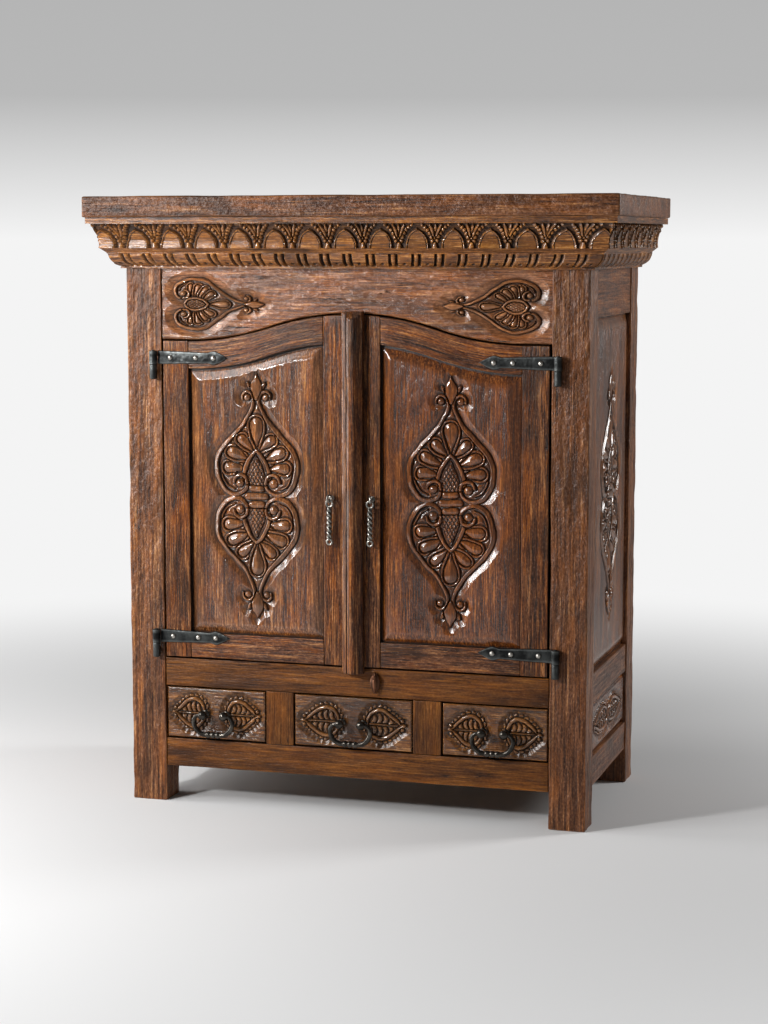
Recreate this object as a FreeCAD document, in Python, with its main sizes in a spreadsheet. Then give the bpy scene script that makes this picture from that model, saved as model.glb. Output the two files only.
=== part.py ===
import FreeCAD, Part
import math
import os
import Sketcher

# Carved TV cabinet: four posts, a mitred cornice, two arched doors on strap hinges and three drawers.
# Millimetres and degrees. The origin is the middle of the footprint on the floor, the front faces -Y,
# +X is to the viewer's right and +Z is up.

doc = FreeCAD.newDocument("TvCabinet")
vector = FreeCAD.Vector

# Driving dimensions: name, value, meaning

SIZES = (
    ("top_width", 1473.2, "width of the top board, the widest piece"),
    ("top_depth", 762, "depth of the top board, the deepest piece"),
    ("overall_height", 1676.4, "floor to the top of the top board"),
    ("top_thickness", 57, "thickness of the top board"),
    ("cornice_overhang", 90, "edge of the top board to the face of a post"),
    ("cove_height", 82, "height of the upper cornice tier"),
    ("cove_top_setback", 7, "edge of the top board to the fillet of the cove"),
    ("cove_fillet_height", 17, "height of the fillet over the cove"),
    ("cove_fillet_step", 4, "step from the fillet back to the cove"),
    ("cove_bottom_setback", 32, "edge of the top board to the foot of the cove"),
    ("cove_radius", 75, "radius of the hollow of the cove"),
    ("ogee_height", 55, "height of the lower cornice tier"),
    ("ogee_top_setback", 35, "edge of the top board to the top of the lower tier"),
    ("ogee_shelf_setback", 50, "edge of the top board to the head of the ovolo"),
    ("ogee_shelf_drop", 12, "height of the sloping band over the ovolo"),
    ("ogee_bottom_setback", 79, "edge of the top board to the foot of the ovolo"),
    ("ogee_lip_height", 6, "height of the lip under the ovolo"),
    ("ogee_radius", 40, "radius of the swell of the ovolo"),
    ("post_width", 102, "post, across the front"),
    ("post_depth", 98, "post, front to back"),
    ("face_setback", 4, "face of a post to the face of rails and drawers"),
    ("rail_thickness", 45, "front rails and muntins, front to back"),
    ("base_rail_bottom", 100, "floor to the base rails"),
    ("base_rail_height", 80, "height of the base rails"),
    ("drawer_opening_height", 148, "base rail to waist rail"),
    ("waist_rail_height", 80, "height of the waist rails"),
    ("muntin_width", 80, "upright between two drawers"),
    ("middle_opening_width", 340, "opening of the middle drawer"),
    ("side_rail_thickness", 40, "side rails, across their thickness"),
    ("side_top_rail_drop", 127.4, "foot of the cornice to the underside of the side top rails"),
    ("frieze_crown_height", 116.4, "foot of the cornice to the crown of the arch under the frieze"),
    ("arch_rise", 76, "rise of the arch under the frieze"),
    ("door_gap", 4, "gap round each door and between the doors"),
    ("door_thickness", 40, "thickness of the door frames"),
    ("door_proud", 1, "door face in front of the post faces"),
    ("hinge_stile_width", 74, "stile on the hinge side of a door"),
    ("panel_inner_offset", 80, "middle of the cabinet to the inner edge of a door panel"),
    ("meeting_offset", 20, "meeting line of the doors, to the left of the middle"),
    ("door_top_rail_height", 76, "height of an arched top rail"),
    ("door_bottom_rail_height", 70, "height of a door bottom rail"),
    ("frame_lip", 13, "frame face to the groove that holds a panel"),
    ("tongue_thickness", 12, "panel edge held in the groove"),
    ("tongue_depth", 10, "reach of a panel into its groove"),
    ("panel_play", 0.5, "play round a panel edge in its groove"),
    ("field_setback", 3, "frame face to the raised field of a panel"),
    ("bevel_width", 26, "width of the bevel round a raised field"),
    ("lower_bevel_width", 16, "width of the bevel round a lower side panel"),
    ("carving_depth", 8, "field of a panel to the ground beside its palmette"),
    ("scoop_width", 20, "width of the scooped ground round a palmette"),
    ("palmette_tip", 334, "collar of a palmette to its tip"),
    ("palmette_bud_height", 309, "collar to the widest place of the bud"),
    ("palmette_bud_half", 25, "half width of the bud"),
    ("palmette_curl_height", 272, "collar to the middle of the curls"),
    ("palmette_curl_half", 38, "half width over the curls"),
    ("palmette_neck_height", 247, "collar to the neck under the curls"),
    ("palmette_neck_half", 10, "half width of the neck"),
    ("palmette_flank_height", 176, "collar to where the flanks start to swell"),
    ("palmette_flank_half", 62, "half width where the flanks start to swell"),
    ("palmette_lobe_height", 86, "collar to the widest place of the lobes"),
    ("palmette_lobe_half", 122, "half width over the lobes"),
    ("palmette_notch_half", 82, "half width at the collar"),
    ("palmette_flank_bend", 190, "radius of the flanks"),
    ("palmette_lobe_bend", 108, "radius of the lobes"),
    ("palmette_band", 12, "width of the band round the petals"),
    ("fan_root", 100, "collar to the place that the petals spread from"),
    ("petal_start", 34, "root of the fan to the point of a petal"),
    ("petal_radius", 14.5, "round end of a side petal"),
    ("first_petal_radius", 20, "round end of the middle petal"),
    ("first_petal_reach", 89, "root of the fan to the round of the middle petal"),
    ("second_petal_reach", 70, "root of the fan to the round of the second petal"),
    ("third_petal_reach", 77.5, "root of the fan to the round of the third petal"),
    ("fourth_petal_reach", 93.6, "root of the fan to the round of the fourth petal"),
    ("cone_foot", 40, "collar to the foot of the cone"),
    ("cone_half", 36, "half width of the cone at its foot"),
    ("cone_tip", 123, "collar to the tip of the cone"),
    ("cone_bend", 140, "radius of the sides of the cone"),
    ("astragal_width", 54, "width of the batten over the meeting joint"),
    ("astragal_proud", 34, "batten in front of the door face"),
    ("astragal_base", 14, "thickness of the batten's flat edges"),
    ("astragal_step", 6, "width of the batten's flat edges"),
    ("astragal_chamfer", 9, "width of the batten's sloping faces"),
    ("astragal_rise", 9, "batten above the crown of the doors"),
    ("astragal_drop", 16, "batten below the foot of the doors"),
    ("astragal_hip", 22, "height of the sloping top end of the batten"),
    ("pin_offset", 20, "inner edge of a post to the hinge pin axis"),
    ("barrel_radius", 11, "outside of a hinge barrel"),
    ("barrel_lift", 1, "back of a strap to the back of its barrel"),
    ("pin_radius", 5, "hinge pin"),
    ("pin_clearance", 0.4, "hinge pin to barrel bore, and barrel to pintle"),
    ("pintle_radius", 10, "thick lower part of a pintle"),
    ("pintle_length", 40, "length of the thick lower part of a pintle"),
    ("pin_tip", 2, "hinge pin above its barrel"),
    ("shank_radius", 6, "pintle shank driven into the post"),
    ("shank_depth", 45, "reach of a pintle shank into the post"),
    ("shank_clearance", 0.2, "pintle shank to its hole"),
    ("strap_length", 213, "pin axis to the tip of a strap"),
    ("strap_height", 37, "height of a strap at its barrel"),
    ("strap_shoulder", 18, "pin axis to where a strap starts to narrow"),
    ("strap_neck_height", 28, "height of a strap at its neck"),
    ("strap_head_height", 38, "height of the spear head of a strap"),
    ("strap_head_length", 40, "widest part of the spear head to its tip"),
    ("strap_neck_run", 18, "neck to the widest part of the spear head"),
    ("strap_thickness", 5, "thickness of a strap"),
    ("hinge_top_inset", 46, "top of a hinge stile to the middle of the upper strap"),
    ("hinge_bottom_inset", 58, "foot of a door to the middle of the lower strap"),
    ("nail_radius", 7, "base of a nail head"),
    ("nail_tip_radius", 2, "blunt tip of a nail head"),
    ("nail_height", 5.5, "height of a nail head"),
    ("nail_first", 47, "pin axis to the first nail of a strap"),
    ("nail_second", 122, "pin axis to the second nail of a strap"),
    ("pull_offset", 57, "middle of the cabinet to the axis of a pull"),
    ("pull_height", 458, "foot of the doors to the eye of a pull"),
    ("eye_radius", 9.5, "eye of a pull, to the middle of its wire"),
    ("eye_wire", 2.5, "radius of the wire of an eye"),
    ("eye_reach", 6, "door face to the wire of an eye"),
    ("eye_turn", 20, "turn of the eye from square to the door"),
    ("eye_plate_radius", 8, "washer under an eye"),
    ("eye_plate_thickness", 2, "thickness of the washer under an eye"),
    ("link_radius", 9, "upper ring of a pull, to the middle of its wire"),
    ("link_wire", 2.5, "radius of the wire of the upper ring"),
    ("link_play", 0.5, "upper ring to the eye that it hangs in"),
    ("shaft_radius", 5.6, "twisted shaft of a pull"),
    ("shaft_length", 88, "twisted shaft of a pull, between its rings"),
    ("end_ring_radius", 7.5, "lower ring of a pull, to the middle of its wire"),
    ("end_ring_wire", 2.3, "radius of the wire of the lower ring"),
    ("drawer_gap", 4, "gap round each drawer front"),
    ("drawer_front_thickness", 25, "thickness of a drawer front"),
    ("drawer_side_thickness", 14, "sides and back of a drawer box"),
    ("drawer_side_height", 112, "height of a drawer box"),
    ("drawer_bottom_thickness", 8, "bottom board of a drawer"),
    ("drawer_bottom_lift", 6, "lower edge of a drawer side to its bottom board"),
    ("drawer_back_room", 76, "back of a drawer box to the back panel"),
    ("slide_play", 0.6, "drawer box above its runners"),
    ("runner_width", 40, "width of a drawer runner"),
    ("runner_height", 25, "height of a drawer runner"),
    ("bail_spacing", 62, "distance between the two eye posts of a bail"),
    ("bail_standoff", 24, "drawer front to the axis of a bail"),
    ("ball_radius", 11, "ball head of an eye post"),
    ("stem_radius", 5, "stem of an eye post"),
    ("rosette_radius", 11, "foot of an eye post"),
    ("rosette_thickness", 4, "thickness of the foot of an eye post"),
    ("bail_wire", 4.2, "radius of the iron of a bail"),
    ("bail_play", 0.5, "bail end in the bore of an eye post"),
    ("bail_half_width", 57, "half width of a bail, to the middle of its iron"),
    ("bail_top_bend", 18, "radius of the upper bends of a bail"),
    ("bail_bottom_bend", 36, "radius of the lower bends of a bail"),
    ("bead_radius", 6.2, "beads on the grip of a bail"),
    ("bead_spacing", 12, "distance between beads"),
    ("button_length", 62, "length of the turn-button"),
    ("button_width", 28, "width of the turn-button"),
    ("button_edge", 6, "thickness of the turn-button at its edge"),
    ("button_crown", 9, "height of the turn-button's ridge over its edge"),
    ("button_ridge_inset", 7, "edge of the turn-button to its ridge face"),
    ("button_pivot_inset", 14, "near end of the turn-button to its nail"),
    ("button_offset", 66, "middle of the cabinet to the turn-button"),
    ("button_drop", 20, "top of the waist rail to the nail of the turn-button"),
    ("button_play", 0.6, "turn-button to the door face and to its nail"),
    ("button_boss_radius", 8, "round foot behind the turn-button"),
    ("button_nail_radius", 3, "shank of the turn-button's nail"),
    ("button_head_radius", 6, "head of the turn-button's nail"),
    ("button_head_height", 3, "height of the head of the turn-button's nail"),
    ("button_nail_depth", 28, "reach of the nail into the waist rail"),
    ("deck_thickness", 20, "floor board of the TV compartment"),
    ("back_setback", 10, "back of the posts to the back rails"),
    ("back_rail_thickness", 30, "back rails, front to back"),
    ("back_top_rail_height", 90, "height of the top back rail"),
    ("back_panel_thickness", 12, "back boards"),
    ("back_panel_play", 1, "back boards to the posts"),
    ("cable_hole_radius", 30, "cable outlet in the upper back board"),
    ("cable_hole_lift", 160, "deck to the middle of the cable outlet"),
)

# Places worked out from the sizes

PLACES = (
    ("post_out", "Sizes.top_width / 2 - Sizes.cornice_overhang"),
    ("post_in", "post_out - Sizes.post_width"),
    ("front", "Sizes.cornice_overhang - Sizes.top_depth / 2"),
    ("front_post_back", "front + Sizes.post_depth"),
    ("back", "Sizes.top_depth / 2"),
    ("back_post_front", "back - Sizes.post_depth"),
    ("face", "front + Sizes.face_setback"),
    ("rail_back", "face + Sizes.rail_thickness"),
    ("top_under", "Sizes.overall_height - Sizes.top_thickness"),
    ("cove_bottom", "top_under - Sizes.cove_height"),
    ("ogee_bottom", "cove_bottom - Sizes.ogee_height"),
    ("side_top_rail_bottom", "ogee_bottom - Sizes.side_top_rail_drop"),
    ("arch_spring", "ogee_bottom - Sizes.frieze_crown_height - Sizes.arch_rise"),
    ("base_top", "Sizes.base_rail_bottom + Sizes.base_rail_height"),
    ("waist_bottom", "base_top + Sizes.drawer_opening_height"),
    ("waist_top", "waist_bottom + Sizes.waist_rail_height"),
    ("middle_half", "Sizes.middle_opening_width / 2"),
    ("outer_opening", "middle_half + Sizes.muntin_width"),
    ("groove_depth", "Sizes.tongue_depth + Sizes.panel_play"),
    ("groove_width", "Sizes.tongue_thickness + 2 * Sizes.panel_play"),
    ("tongue_front", "Sizes.frame_lip + Sizes.panel_play"),
    ("field_rise", "tongue_front - Sizes.field_setback"),
    ("side_face", "post_out - Sizes.face_setback"),
    ("side_inner", "side_face - Sizes.side_rail_thickness"),
    ("side_groove_out", "side_face - Sizes.frame_lip"),
    ("side_groove_in", "side_groove_out - groove_width"),
    ("door_face", "front - Sizes.door_proud"),
    ("door_back", "door_face + Sizes.door_thickness"),
    ("door_bottom", "waist_top + Sizes.door_gap"),
    ("door_outer", "post_in - Sizes.door_gap"),
    ("door_spring", "arch_spring - Sizes.door_gap"),
    ("arch_run", "door_outer - Sizes.hinge_stile_width"),
    ("arch_half", "arch_run / 2"),
    ("arch_radius", "(arch_half ^ 2 + (Sizes.arch_rise / 2) ^ 2) / Sizes.arch_rise"),
    ("panel_inner", "Sizes.panel_inner_offset"),
    ("panel_foot", "door_bottom + Sizes.door_bottom_rail_height"),
    ("panel_spring", "door_spring - Sizes.door_top_rail_height"),
    ("palmette_middle", "(panel_foot + panel_spring + Sizes.arch_rise / 2) / 2"),
    ("panel_inner_drop", "arch_radius - sqrt(arch_radius ^ 2 - panel_inner ^ 2)"),
    ("left_edge", "-Sizes.meeting_offset - Sizes.door_gap / 2"),
    ("right_edge", "-Sizes.meeting_offset + Sizes.door_gap / 2"),
    ("left_edge_drop", "arch_radius - sqrt(arch_radius ^ 2 - left_edge ^ 2)"),
    ("right_edge_drop", "arch_radius - sqrt(arch_radius ^ 2 - right_edge ^ 2)"),
    ("door_crown", "door_spring + Sizes.arch_rise"),
    ("panel_crown", "panel_spring + Sizes.arch_rise"),
    ("groove_front", "door_face + Sizes.frame_lip"),
    ("pin_x", "post_in + Sizes.pin_offset"),
    ("pin_y", "door_face - Sizes.barrel_lift - Sizes.barrel_radius"),
    ("upper_hinge", "door_spring - Sizes.hinge_top_inset"),
    ("lower_hinge", "door_bottom + Sizes.hinge_bottom_inset"),
    ("strap_head", "Sizes.strap_length - Sizes.strap_head_length"),
    ("strap_neck", "strap_head - Sizes.strap_neck_run"),
    ("eye_height", "door_bottom + Sizes.pull_height"),
    ("eye_y", "door_face - Sizes.eye_reach - Sizes.eye_wire - Sizes.eye_radius"),
    ("link_axis", "eye_height - Sizes.eye_radius + Sizes.eye_wire + Sizes.link_wire + Sizes.link_play"),
    ("link_middle", "link_axis - Sizes.link_radius"),
    ("shaft_top", "link_middle - Sizes.link_radius"),
    ("end_ring_middle", "shaft_top - Sizes.shaft_length - Sizes.end_ring_radius"),
    ("front_back", "face + Sizes.drawer_front_thickness"),
    ("box_bottom", "base_top + Sizes.slide_play"),
    ("back_rail_back", "back - Sizes.back_setback"),
    ("back_rail_front", "back_rail_back - Sizes.back_rail_thickness"),
    ("back_panel_front", "back_rail_front - Sizes.back_panel_thickness"),
    ("box_back", "back_panel_front - Sizes.drawer_back_room"),
    ("drawer_middle", "(base_top + waist_bottom) / 2"),
    ("bail_y", "face - Sizes.bail_standoff"),
    ("bail_drop", "Sizes.bail_top_bend + Sizes.bail_bottom_bend"),
    ("bail_end", "Sizes.bail_spacing / 2 - Sizes.ball_radius"),
    ("button_height", "waist_top - Sizes.button_drop"),
    ("button_back", "door_face - Sizes.button_play"),
    ("button_front", "button_back - Sizes.button_edge - Sizes.button_crown"),
    ("button_bend", "(Sizes.button_length ^ 2 + Sizes.button_width ^ 2) / (4 * Sizes.button_width)"),
    ("ridge_length", "Sizes.button_length - 4 * Sizes.button_ridge_inset"),
    ("ridge_width", "Sizes.button_width - 2 * Sizes.button_ridge_inset"),
    ("ridge_bend", "(ridge_length ^ 2 + ridge_width ^ 2) / (4 * ridge_width)"),
    ("button_middle", "Sizes.button_pivot_inset - Sizes.button_length / 2"),
)

sizes = doc.addObject("Spreadsheet::Sheet", "Sizes")
for row, (alias, number, meaning) in enumerate(SIZES, start=1):
    sizes.set(f"A{row}", meaning)
    sizes.set(f"B{row}", str(number))
    sizes.setAlias(f"B{row}", alias)
doc.recompute()

places = doc.addObject("Spreadsheet::Sheet", "Places")
for row, (alias, formula) in enumerate(PLACES, start=1):
    places.set(f"A{row}", alias)
    places.set(f"B{row}", f"={formula}")
    places.setAlias(f"B{row}", alias)
doc.recompute()

nodes = []


# Small tools for building pieces


def value(text):
    """Number that an expression over the two sheets gives."""
    return float(sizes.evalExpression(text))


def keep(piece):
    """Marks a finished sub-part; its label names its file."""
    nodes.append(piece)
    return piece


def put(piece, x, y, z):
    piece.setExpression("Placement.Base.x", x)
    piece.setExpression("Placement.Base.y", y)
    piece.setExpression("Placement.Base.z", z)


def box(name, x, y, z):
    """Block between two places on each axis."""
    piece = doc.addObject("Part::Box", name)
    for side, (start, finish) in zip(("Length", "Width", "Height"), (x, y, z)):
        piece.setExpression(side, f"({finish}) - ({start})")
    put(piece, x[0], y[0], z[0])
    return piece


ALONG = {
    "x": FreeCAD.Rotation(vector(0, 1, 0), 90),
    "back": FreeCAD.Rotation(vector(1, 0, 0), -90),
    "forward": FreeCAD.Rotation(vector(1, 0, 0), 90),
    "up": FreeCAD.Rotation(),
}


def rod(name, radius, length, along, x, y, z):
    """Cylinder that starts at a place and runs along one direction."""
    piece = doc.addObject("Part::Cylinder", name)
    piece.Placement = FreeCAD.Placement(vector(), ALONG[along])
    piece.setExpression("Radius", radius)
    piece.setExpression("Height", length)
    put(piece, x, y, z)
    return piece


def ring(name, radius, wire, turn, x, y, z):
    """Round ring whose own axis is turned away from upright."""
    piece = doc.addObject("Part::Torus", name)
    piece.Placement = FreeCAD.Placement(vector(), turn)
    piece.setExpression("Radius1", radius)
    piece.setExpression("Radius2", wire)
    put(piece, x, y, z)
    return piece


def ball(name, radius, x, y, z):
    """Ball with its poles along X, the way of the iron that runs through it."""
    piece = doc.addObject("Part::Sphere", name)
    piece.Placement = FreeCAD.Placement(vector(), ALONG["x"])
    piece.setExpression("Radius", radius)
    put(piece, x, y, z)
    return piece


def group(name, pieces):
    """Separate solids that share one sub-part."""
    piece = doc.addObject("Part::Compound", name)
    piece.Links = pieces
    return piece


def fuse(name, pieces):
    piece = doc.addObject("Part::MultiFuse", name)
    piece.Shapes = pieces
    return piece


def cut(name, base, tools):
    piece = doc.addObject("Part::Cut", name)
    piece.Base = base
    piece.Tool = tools[0] if len(tools) == 1 else group(f"{name}_tools", tools)
    return piece


def mirror(name, source):
    """The same piece on the other side of the cabinet's middle."""
    piece = doc.addObject("Part::Mirroring", name)
    piece.Source = source
    piece.Base = vector(0, 0, 0)
    piece.Normal = vector(1, 0, 0)
    return piece


def body_at(name, x="0", y="0", z="0"):
    piece = doc.addObject("PartDesign::Body", name)
    put(piece, x, y, z)
    return piece


def sketch_on(body, role, name, lift="0"):
    """Sketch on one of the body's own planes, lifted along that plane's normal."""
    plane = [feature for feature in body.Origin.OriginFeatures if feature.Role == role][0]
    sketch = body.newObject("Sketcher::SketchObject", name)
    sketch.AttachmentSupport = [(plane, "")]
    sketch.MapMode = "FlatFace"
    sketch.setExpression("AttachmentOffset.Base.z", lift)
    return sketch


def add_arc(sketch, start, finish, side, radius):
    """Arc between two points with its centre on the given side of the way; returns its ends."""
    chord = finish - start
    square = vector(-chord.y, chord.x, 0).normalize()
    reach = math.sqrt(radius ** 2 - chord.Length ** 2 / 4)
    sign = 1 if side == "left" else -1
    centre = (start + finish) * 0.5 + square * (reach * sign)
    first, last = (start, finish) if side == "left" else (finish, start)
    angles = [math.atan2(end.y - centre.y, end.x - centre.x) for end in (first, last)]
    if angles[1] < angles[0]:
        angles[1] += 2 * math.pi
    circle = Part.Circle(centre, vector(0, 0, 1), radius)
    edge = sketch.addGeometry(Part.ArcOfCircle(circle, angles[0], angles[1]))
    return (edge, 1, 2) if side == "left" else (edge, 2, 1)


def fix_point(sketch, edge, end, across, up):
    """Ties one end of an edge to two expressions."""
    for kind, text in (("DistanceX", across), ("DistanceY", up)):
        bound = sketch.addConstraint(Sketcher.Constraint(kind, -1, 1, edge, end, value(text)))
        sketch.setExpression(f"Constraints[{bound}]", text)


def outline(sketch, corners, closed=True):
    """Draws an outline; a corner's third value, side and radius, bends the edge that leaves it."""
    points = [vector(value(corner[0]), value(corner[1]), 0) for corner in corners]
    count = len(corners) if closed else len(corners) - 1
    edges = []
    for index in range(count):
        start = points[index]
        finish = points[(index + 1) % len(points)]
        if len(corners[index]) == 2:
            edges.append((sketch.addGeometry(Part.LineSegment(start, finish)), 1, 2))
            continue
        side, radius = corners[index][2]
        edges.append(add_arc(sketch, start, finish, side, value(radius)))
        bound = sketch.addConstraint(Sketcher.Constraint("Radius", edges[-1][0], value(radius)))
        sketch.setExpression(f"Constraints[{bound}]", radius)
    for index in range(count if closed else count - 1):
        edge, _, end = edges[index]
        following, start, _ = edges[(index + 1) % count]
        sketch.addConstraint(Sketcher.Constraint("Coincident", edge, end, following, start))
    for (edge, start, _), corner in zip(edges, corners):
        fix_point(sketch, edge, start, corner[0], corner[1])
    if not closed:
        fix_point(sketch, edges[-1][0], edges[-1][2], corners[-1][0], corners[-1][1])


def rectangle(sketch, across, up):
    corners = [(across[0], up[0]), (across[1], up[0]), (across[1], up[1]), (across[0], up[1])]
    outline(sketch, corners)


def disc(sketch, radius, across="0", up="0"):
    centre = vector(value(across), value(up), 0)
    edge = sketch.addGeometry(Part.Circle(centre, vector(0, 0, 1), value(radius)))
    bound = sketch.addConstraint(Sketcher.Constraint("Radius", edge, value(radius)))
    sketch.setExpression(f"Constraints[{bound}]", radius)
    fix_point(sketch, edge, 3, across, up)


def pad(body, sketch, length, reverse=False):
    feature = body.newObject("PartDesign::Pad", f"{sketch.Name}_pad")
    feature.Profile = sketch
    feature.setExpression("Length", length)
    feature.Reversed = reverse
    return feature


def pocket(body, sketch, length, reverse=False):
    feature = body.newObject("PartDesign::Pocket", f"{sketch.Name}_pocket")
    feature.Profile = sketch
    feature.setExpression("Length", length)
    feature.Reversed = reverse
    return feature


def loft(body, first, last):
    feature = body.newObject("PartDesign::AdditiveLoft", f"{first.Name}_loft")
    feature.Profile = first
    feature.Sections = [last]
    feature.Ruled = True
    return feature


# Palmettes: two hearts of petals, one the mirror of the other, in a scooped ground

PETAL_ANGLES = {"second": 48, "third": 11, "fourth": -20}


def palmette_outline(sketch, middle, centre, spread):
    """Outline of the double heart with its buds, moved out sideways by spread."""
    flank = ("right", "Sizes.palmette_flank_bend")
    lobe = ("right", "Sizes.palmette_lobe_bend")
    first = [("bud",), ("curl",), ("neck",), ("flank", flank), ("lobe", lobe)]
    last = [("lobe", flank), ("flank",), ("neck",), ("curl",), ("bud",)]
    corners = []
    for side, above, below in (("+", "+", "-"), ("-", "-", "+")):
        corners.append((middle, f"{centre} {above} (Sizes.palmette_tip + ({spread}) / 2)"))
        for name, *bend in first:
            corners.append((f"{middle} {side} (Sizes.palmette_{name}_half + ({spread}))",
                            f"{centre} {above} Sizes.palmette_{name}_height", *bend))
        corners.append((f"{middle} {side} (Sizes.palmette_notch_half + ({spread}))", centre, lobe))
        for name, *bend in last:
            corners.append((f"{middle} {side} (Sizes.palmette_{name}_half + ({spread}))",
                            f"{centre} {below} Sizes.palmette_{name}_height", *bend))
    outline(sketch, corners)


def heart_opening(sketch, middle, centre, way):
    """Inside of one heart's band; way is the sign of up or down."""
    band = "Sizes.palmette_band"
    bend = "right" if way == "+" else "left"
    flank = (bend, f"Sizes.palmette_flank_bend - {band}")
    lobe = (bend, f"Sizes.palmette_lobe_bend - {band}")
    low = f"{centre} {way} 2 * {band}"
    wide = f"{centre} {way} Sizes.palmette_lobe_height"
    shoulder = f"Sizes.palmette_flank_half - {band}"
    shoulder_z = f"{centre} {way} (Sizes.palmette_flank_height - {band})"
    outline(sketch, [
        (middle, f"{centre} {way} (Sizes.palmette_neck_height - 2 * {band})"),
        (f"{middle} + ({shoulder})", shoulder_z, flank),
        (f"{middle} + (Sizes.palmette_lobe_half - {band})", wide, lobe),
        (f"{middle} + Sizes.palmette_notch_half", low),
        (middle, f"{centre} {way} 3 * {band}"),
        (f"{middle} - Sizes.palmette_notch_half", low, lobe),
        (f"{middle} - (Sizes.palmette_lobe_half - {band})", wide, flank),
        (f"{middle} - ({shoulder})", shoulder_z),
    ])


def petal(sketch, middle, root, angle, reach, radius):
    """Drop-shaped petal that spreads from the root of a fan at an angle."""
    across = f"{middle} + {reach} * cos({angle})"
    up = f"{root} + {reach} * sin({angle})"
    outline(sketch, [
        (f"{middle} + Sizes.petal_start * cos({angle})", f"{root} + Sizes.petal_start * sin({angle})"),
        (f"{across} + {radius} * cos({angle - 80})", f"{up} + {radius} * sin({angle - 80})",
         ("left", radius)),
        (f"{across} + {radius} * cos({angle + 80})", f"{up} + {radius} * sin({angle + 80})"),
    ])


def carve_palmette(body, plane, name, middle, centre, field):
    """Scoops the ground out of a panel's field and stands the palmette in it."""
    floor = f"{field} - Sizes.carving_depth"
    rim = sketch_on(body, plane, f"{name}_rim", field)
    palmette_outline(rim, middle, centre, "Sizes.scoop_width")
    ground = sketch_on(body, plane, f"{name}_ground", floor)
    palmette_outline(ground, middle, centre, "0")
    scoop = body.newObject("PartDesign::SubtractiveLoft", f"{name}_scoop")
    scoop.Profile = rim
    scoop.Sections = [ground]
    scoop.Ruled = True
    band = sketch_on(body, plane, f"{name}_band", floor)
    palmette_outline(band, middle, centre, "-Sizes.panel_play")
    for way in ("+", "-"):
        heart_opening(band, middle, centre, way)
    pad(body, band, "Sizes.carving_depth")
    fan = sketch_on(body, plane, f"{name}_fan", floor)
    for way, turn in (("+", 1), ("-", -1)):
        root = f"{centre} {way} Sizes.fan_root"
        petal(fan, middle, root, 90 * turn, "Sizes.first_petal_reach", "Sizes.first_petal_radius")
        for place, angle in PETAL_ANGLES.items():
            for lean in (angle, 180 - angle):
                petal(fan, middle, root, lean * turn, f"Sizes.{place}_petal_reach", "Sizes.petal_radius")
        side = ("left" if way == "+" else "right", "Sizes.cone_bend")
        outline(fan, [(f"{middle} - Sizes.cone_half", f"{centre} {way} Sizes.cone_foot"),
                      (f"{middle} + Sizes.cone_half", f"{centre} {way} Sizes.cone_foot", side),
                      (middle, f"{centre} {way} Sizes.cone_tip", side)])
    pad(body, fan, "Sizes.carving_depth")


# Posts, with grooves for the side panels and holes for the pintles


def make_posts():
    groove_z = ("Places.base_top - Places.groove_depth",
                "Places.side_top_rail_bottom + Places.groove_depth")
    groove_x = ("Places.side_groove_in", "Places.side_groove_out")
    post_x = ("Places.post_in", "Places.post_out")
    post_z = ("0", "Places.top_under")

    block = box("front_post_block", post_x, ("Places.front", "Places.front_post_back"), post_z)
    groove_y = ("Places.front_post_back - Places.groove_depth", "Places.front_post_back")
    tools = [box("front_post_groove", groove_x, groove_y, groove_z)]
    for level in ("upper", "lower"):
        tools.append(rod(f"{level}_shank_hole", "Sizes.shank_radius + Sizes.shank_clearance",
                         "Sizes.shank_depth", "back", "Places.pin_x", "Places.front", shank_z(level)))
    right = keep(cut("post_front_right", block, tools))
    keep(mirror("post_front_left", right))

    block = box("back_post_block", post_x, ("Places.back_post_front", "Places.back"), post_z)
    groove_y = ("Places.back_post_front", "Places.back_post_front + Places.groove_depth")
    right = keep(cut("post_back_right", block, [box("back_post_groove", groove_x, groove_y, groove_z)]))
    keep(mirror("post_back_left", right))


def shank_z(level):
    """Height of the shank of the upper or lower pintle."""
    return (f"Places.{level}_hinge - Sizes.strap_height / 2 - Sizes.pin_clearance"
            " - Sizes.pintle_length / 2")


# Front rails, muntins and the arched frieze


def make_front_rails():
    between = ("-Places.post_in", "Places.post_in")
    depth = ("Places.face", "Places.rail_back")
    block = box("waist_block", between, depth, ("Places.waist_bottom", "Places.waist_top"))
    hole = rod("button_nail_hole", "Sizes.button_nail_radius", "Sizes.button_nail_depth", "back",
               "Sizes.button_offset", "Places.face", "Places.button_height")
    keep(cut("waist_rail", block, [hole]))
    keep(box("base_rail", between, depth, ("Sizes.base_rail_bottom", "Places.base_top")))
    right = box("muntin_right", ("Places.middle_half", "Places.outer_opening"), depth,
                ("Places.base_top", "Places.waist_bottom"))
    keep(group("drawer_muntins", [right, mirror("muntin_left", right)]))


def make_frieze():
    body = body_at("frieze_rail", y="Places.face")
    sketch = sketch_on(body, "XZ_Plane", "frieze_outline")
    spring = "Places.arch_spring"
    middle = "Places.arch_spring + Sizes.arch_rise / 2"
    hollow = ("left", "Places.arch_radius")
    crown = ("right", "Places.arch_radius")
    outline(sketch, [
        ("-Places.post_in", spring),
        ("-Places.arch_run", spring, hollow),
        ("-Places.arch_half", middle, crown),
        ("Places.arch_half", middle, hollow),
        ("Places.arch_run", spring),
        ("Places.post_in", spring),
        ("Places.post_in", "Places.top_under"),
        ("-Places.post_in", "Places.top_under"),
    ])
    pad(body, sketch, "Sizes.rail_thickness", reverse=True)
    keep(body)


# Sides: three rails, a tall raised panel and a small one


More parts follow.
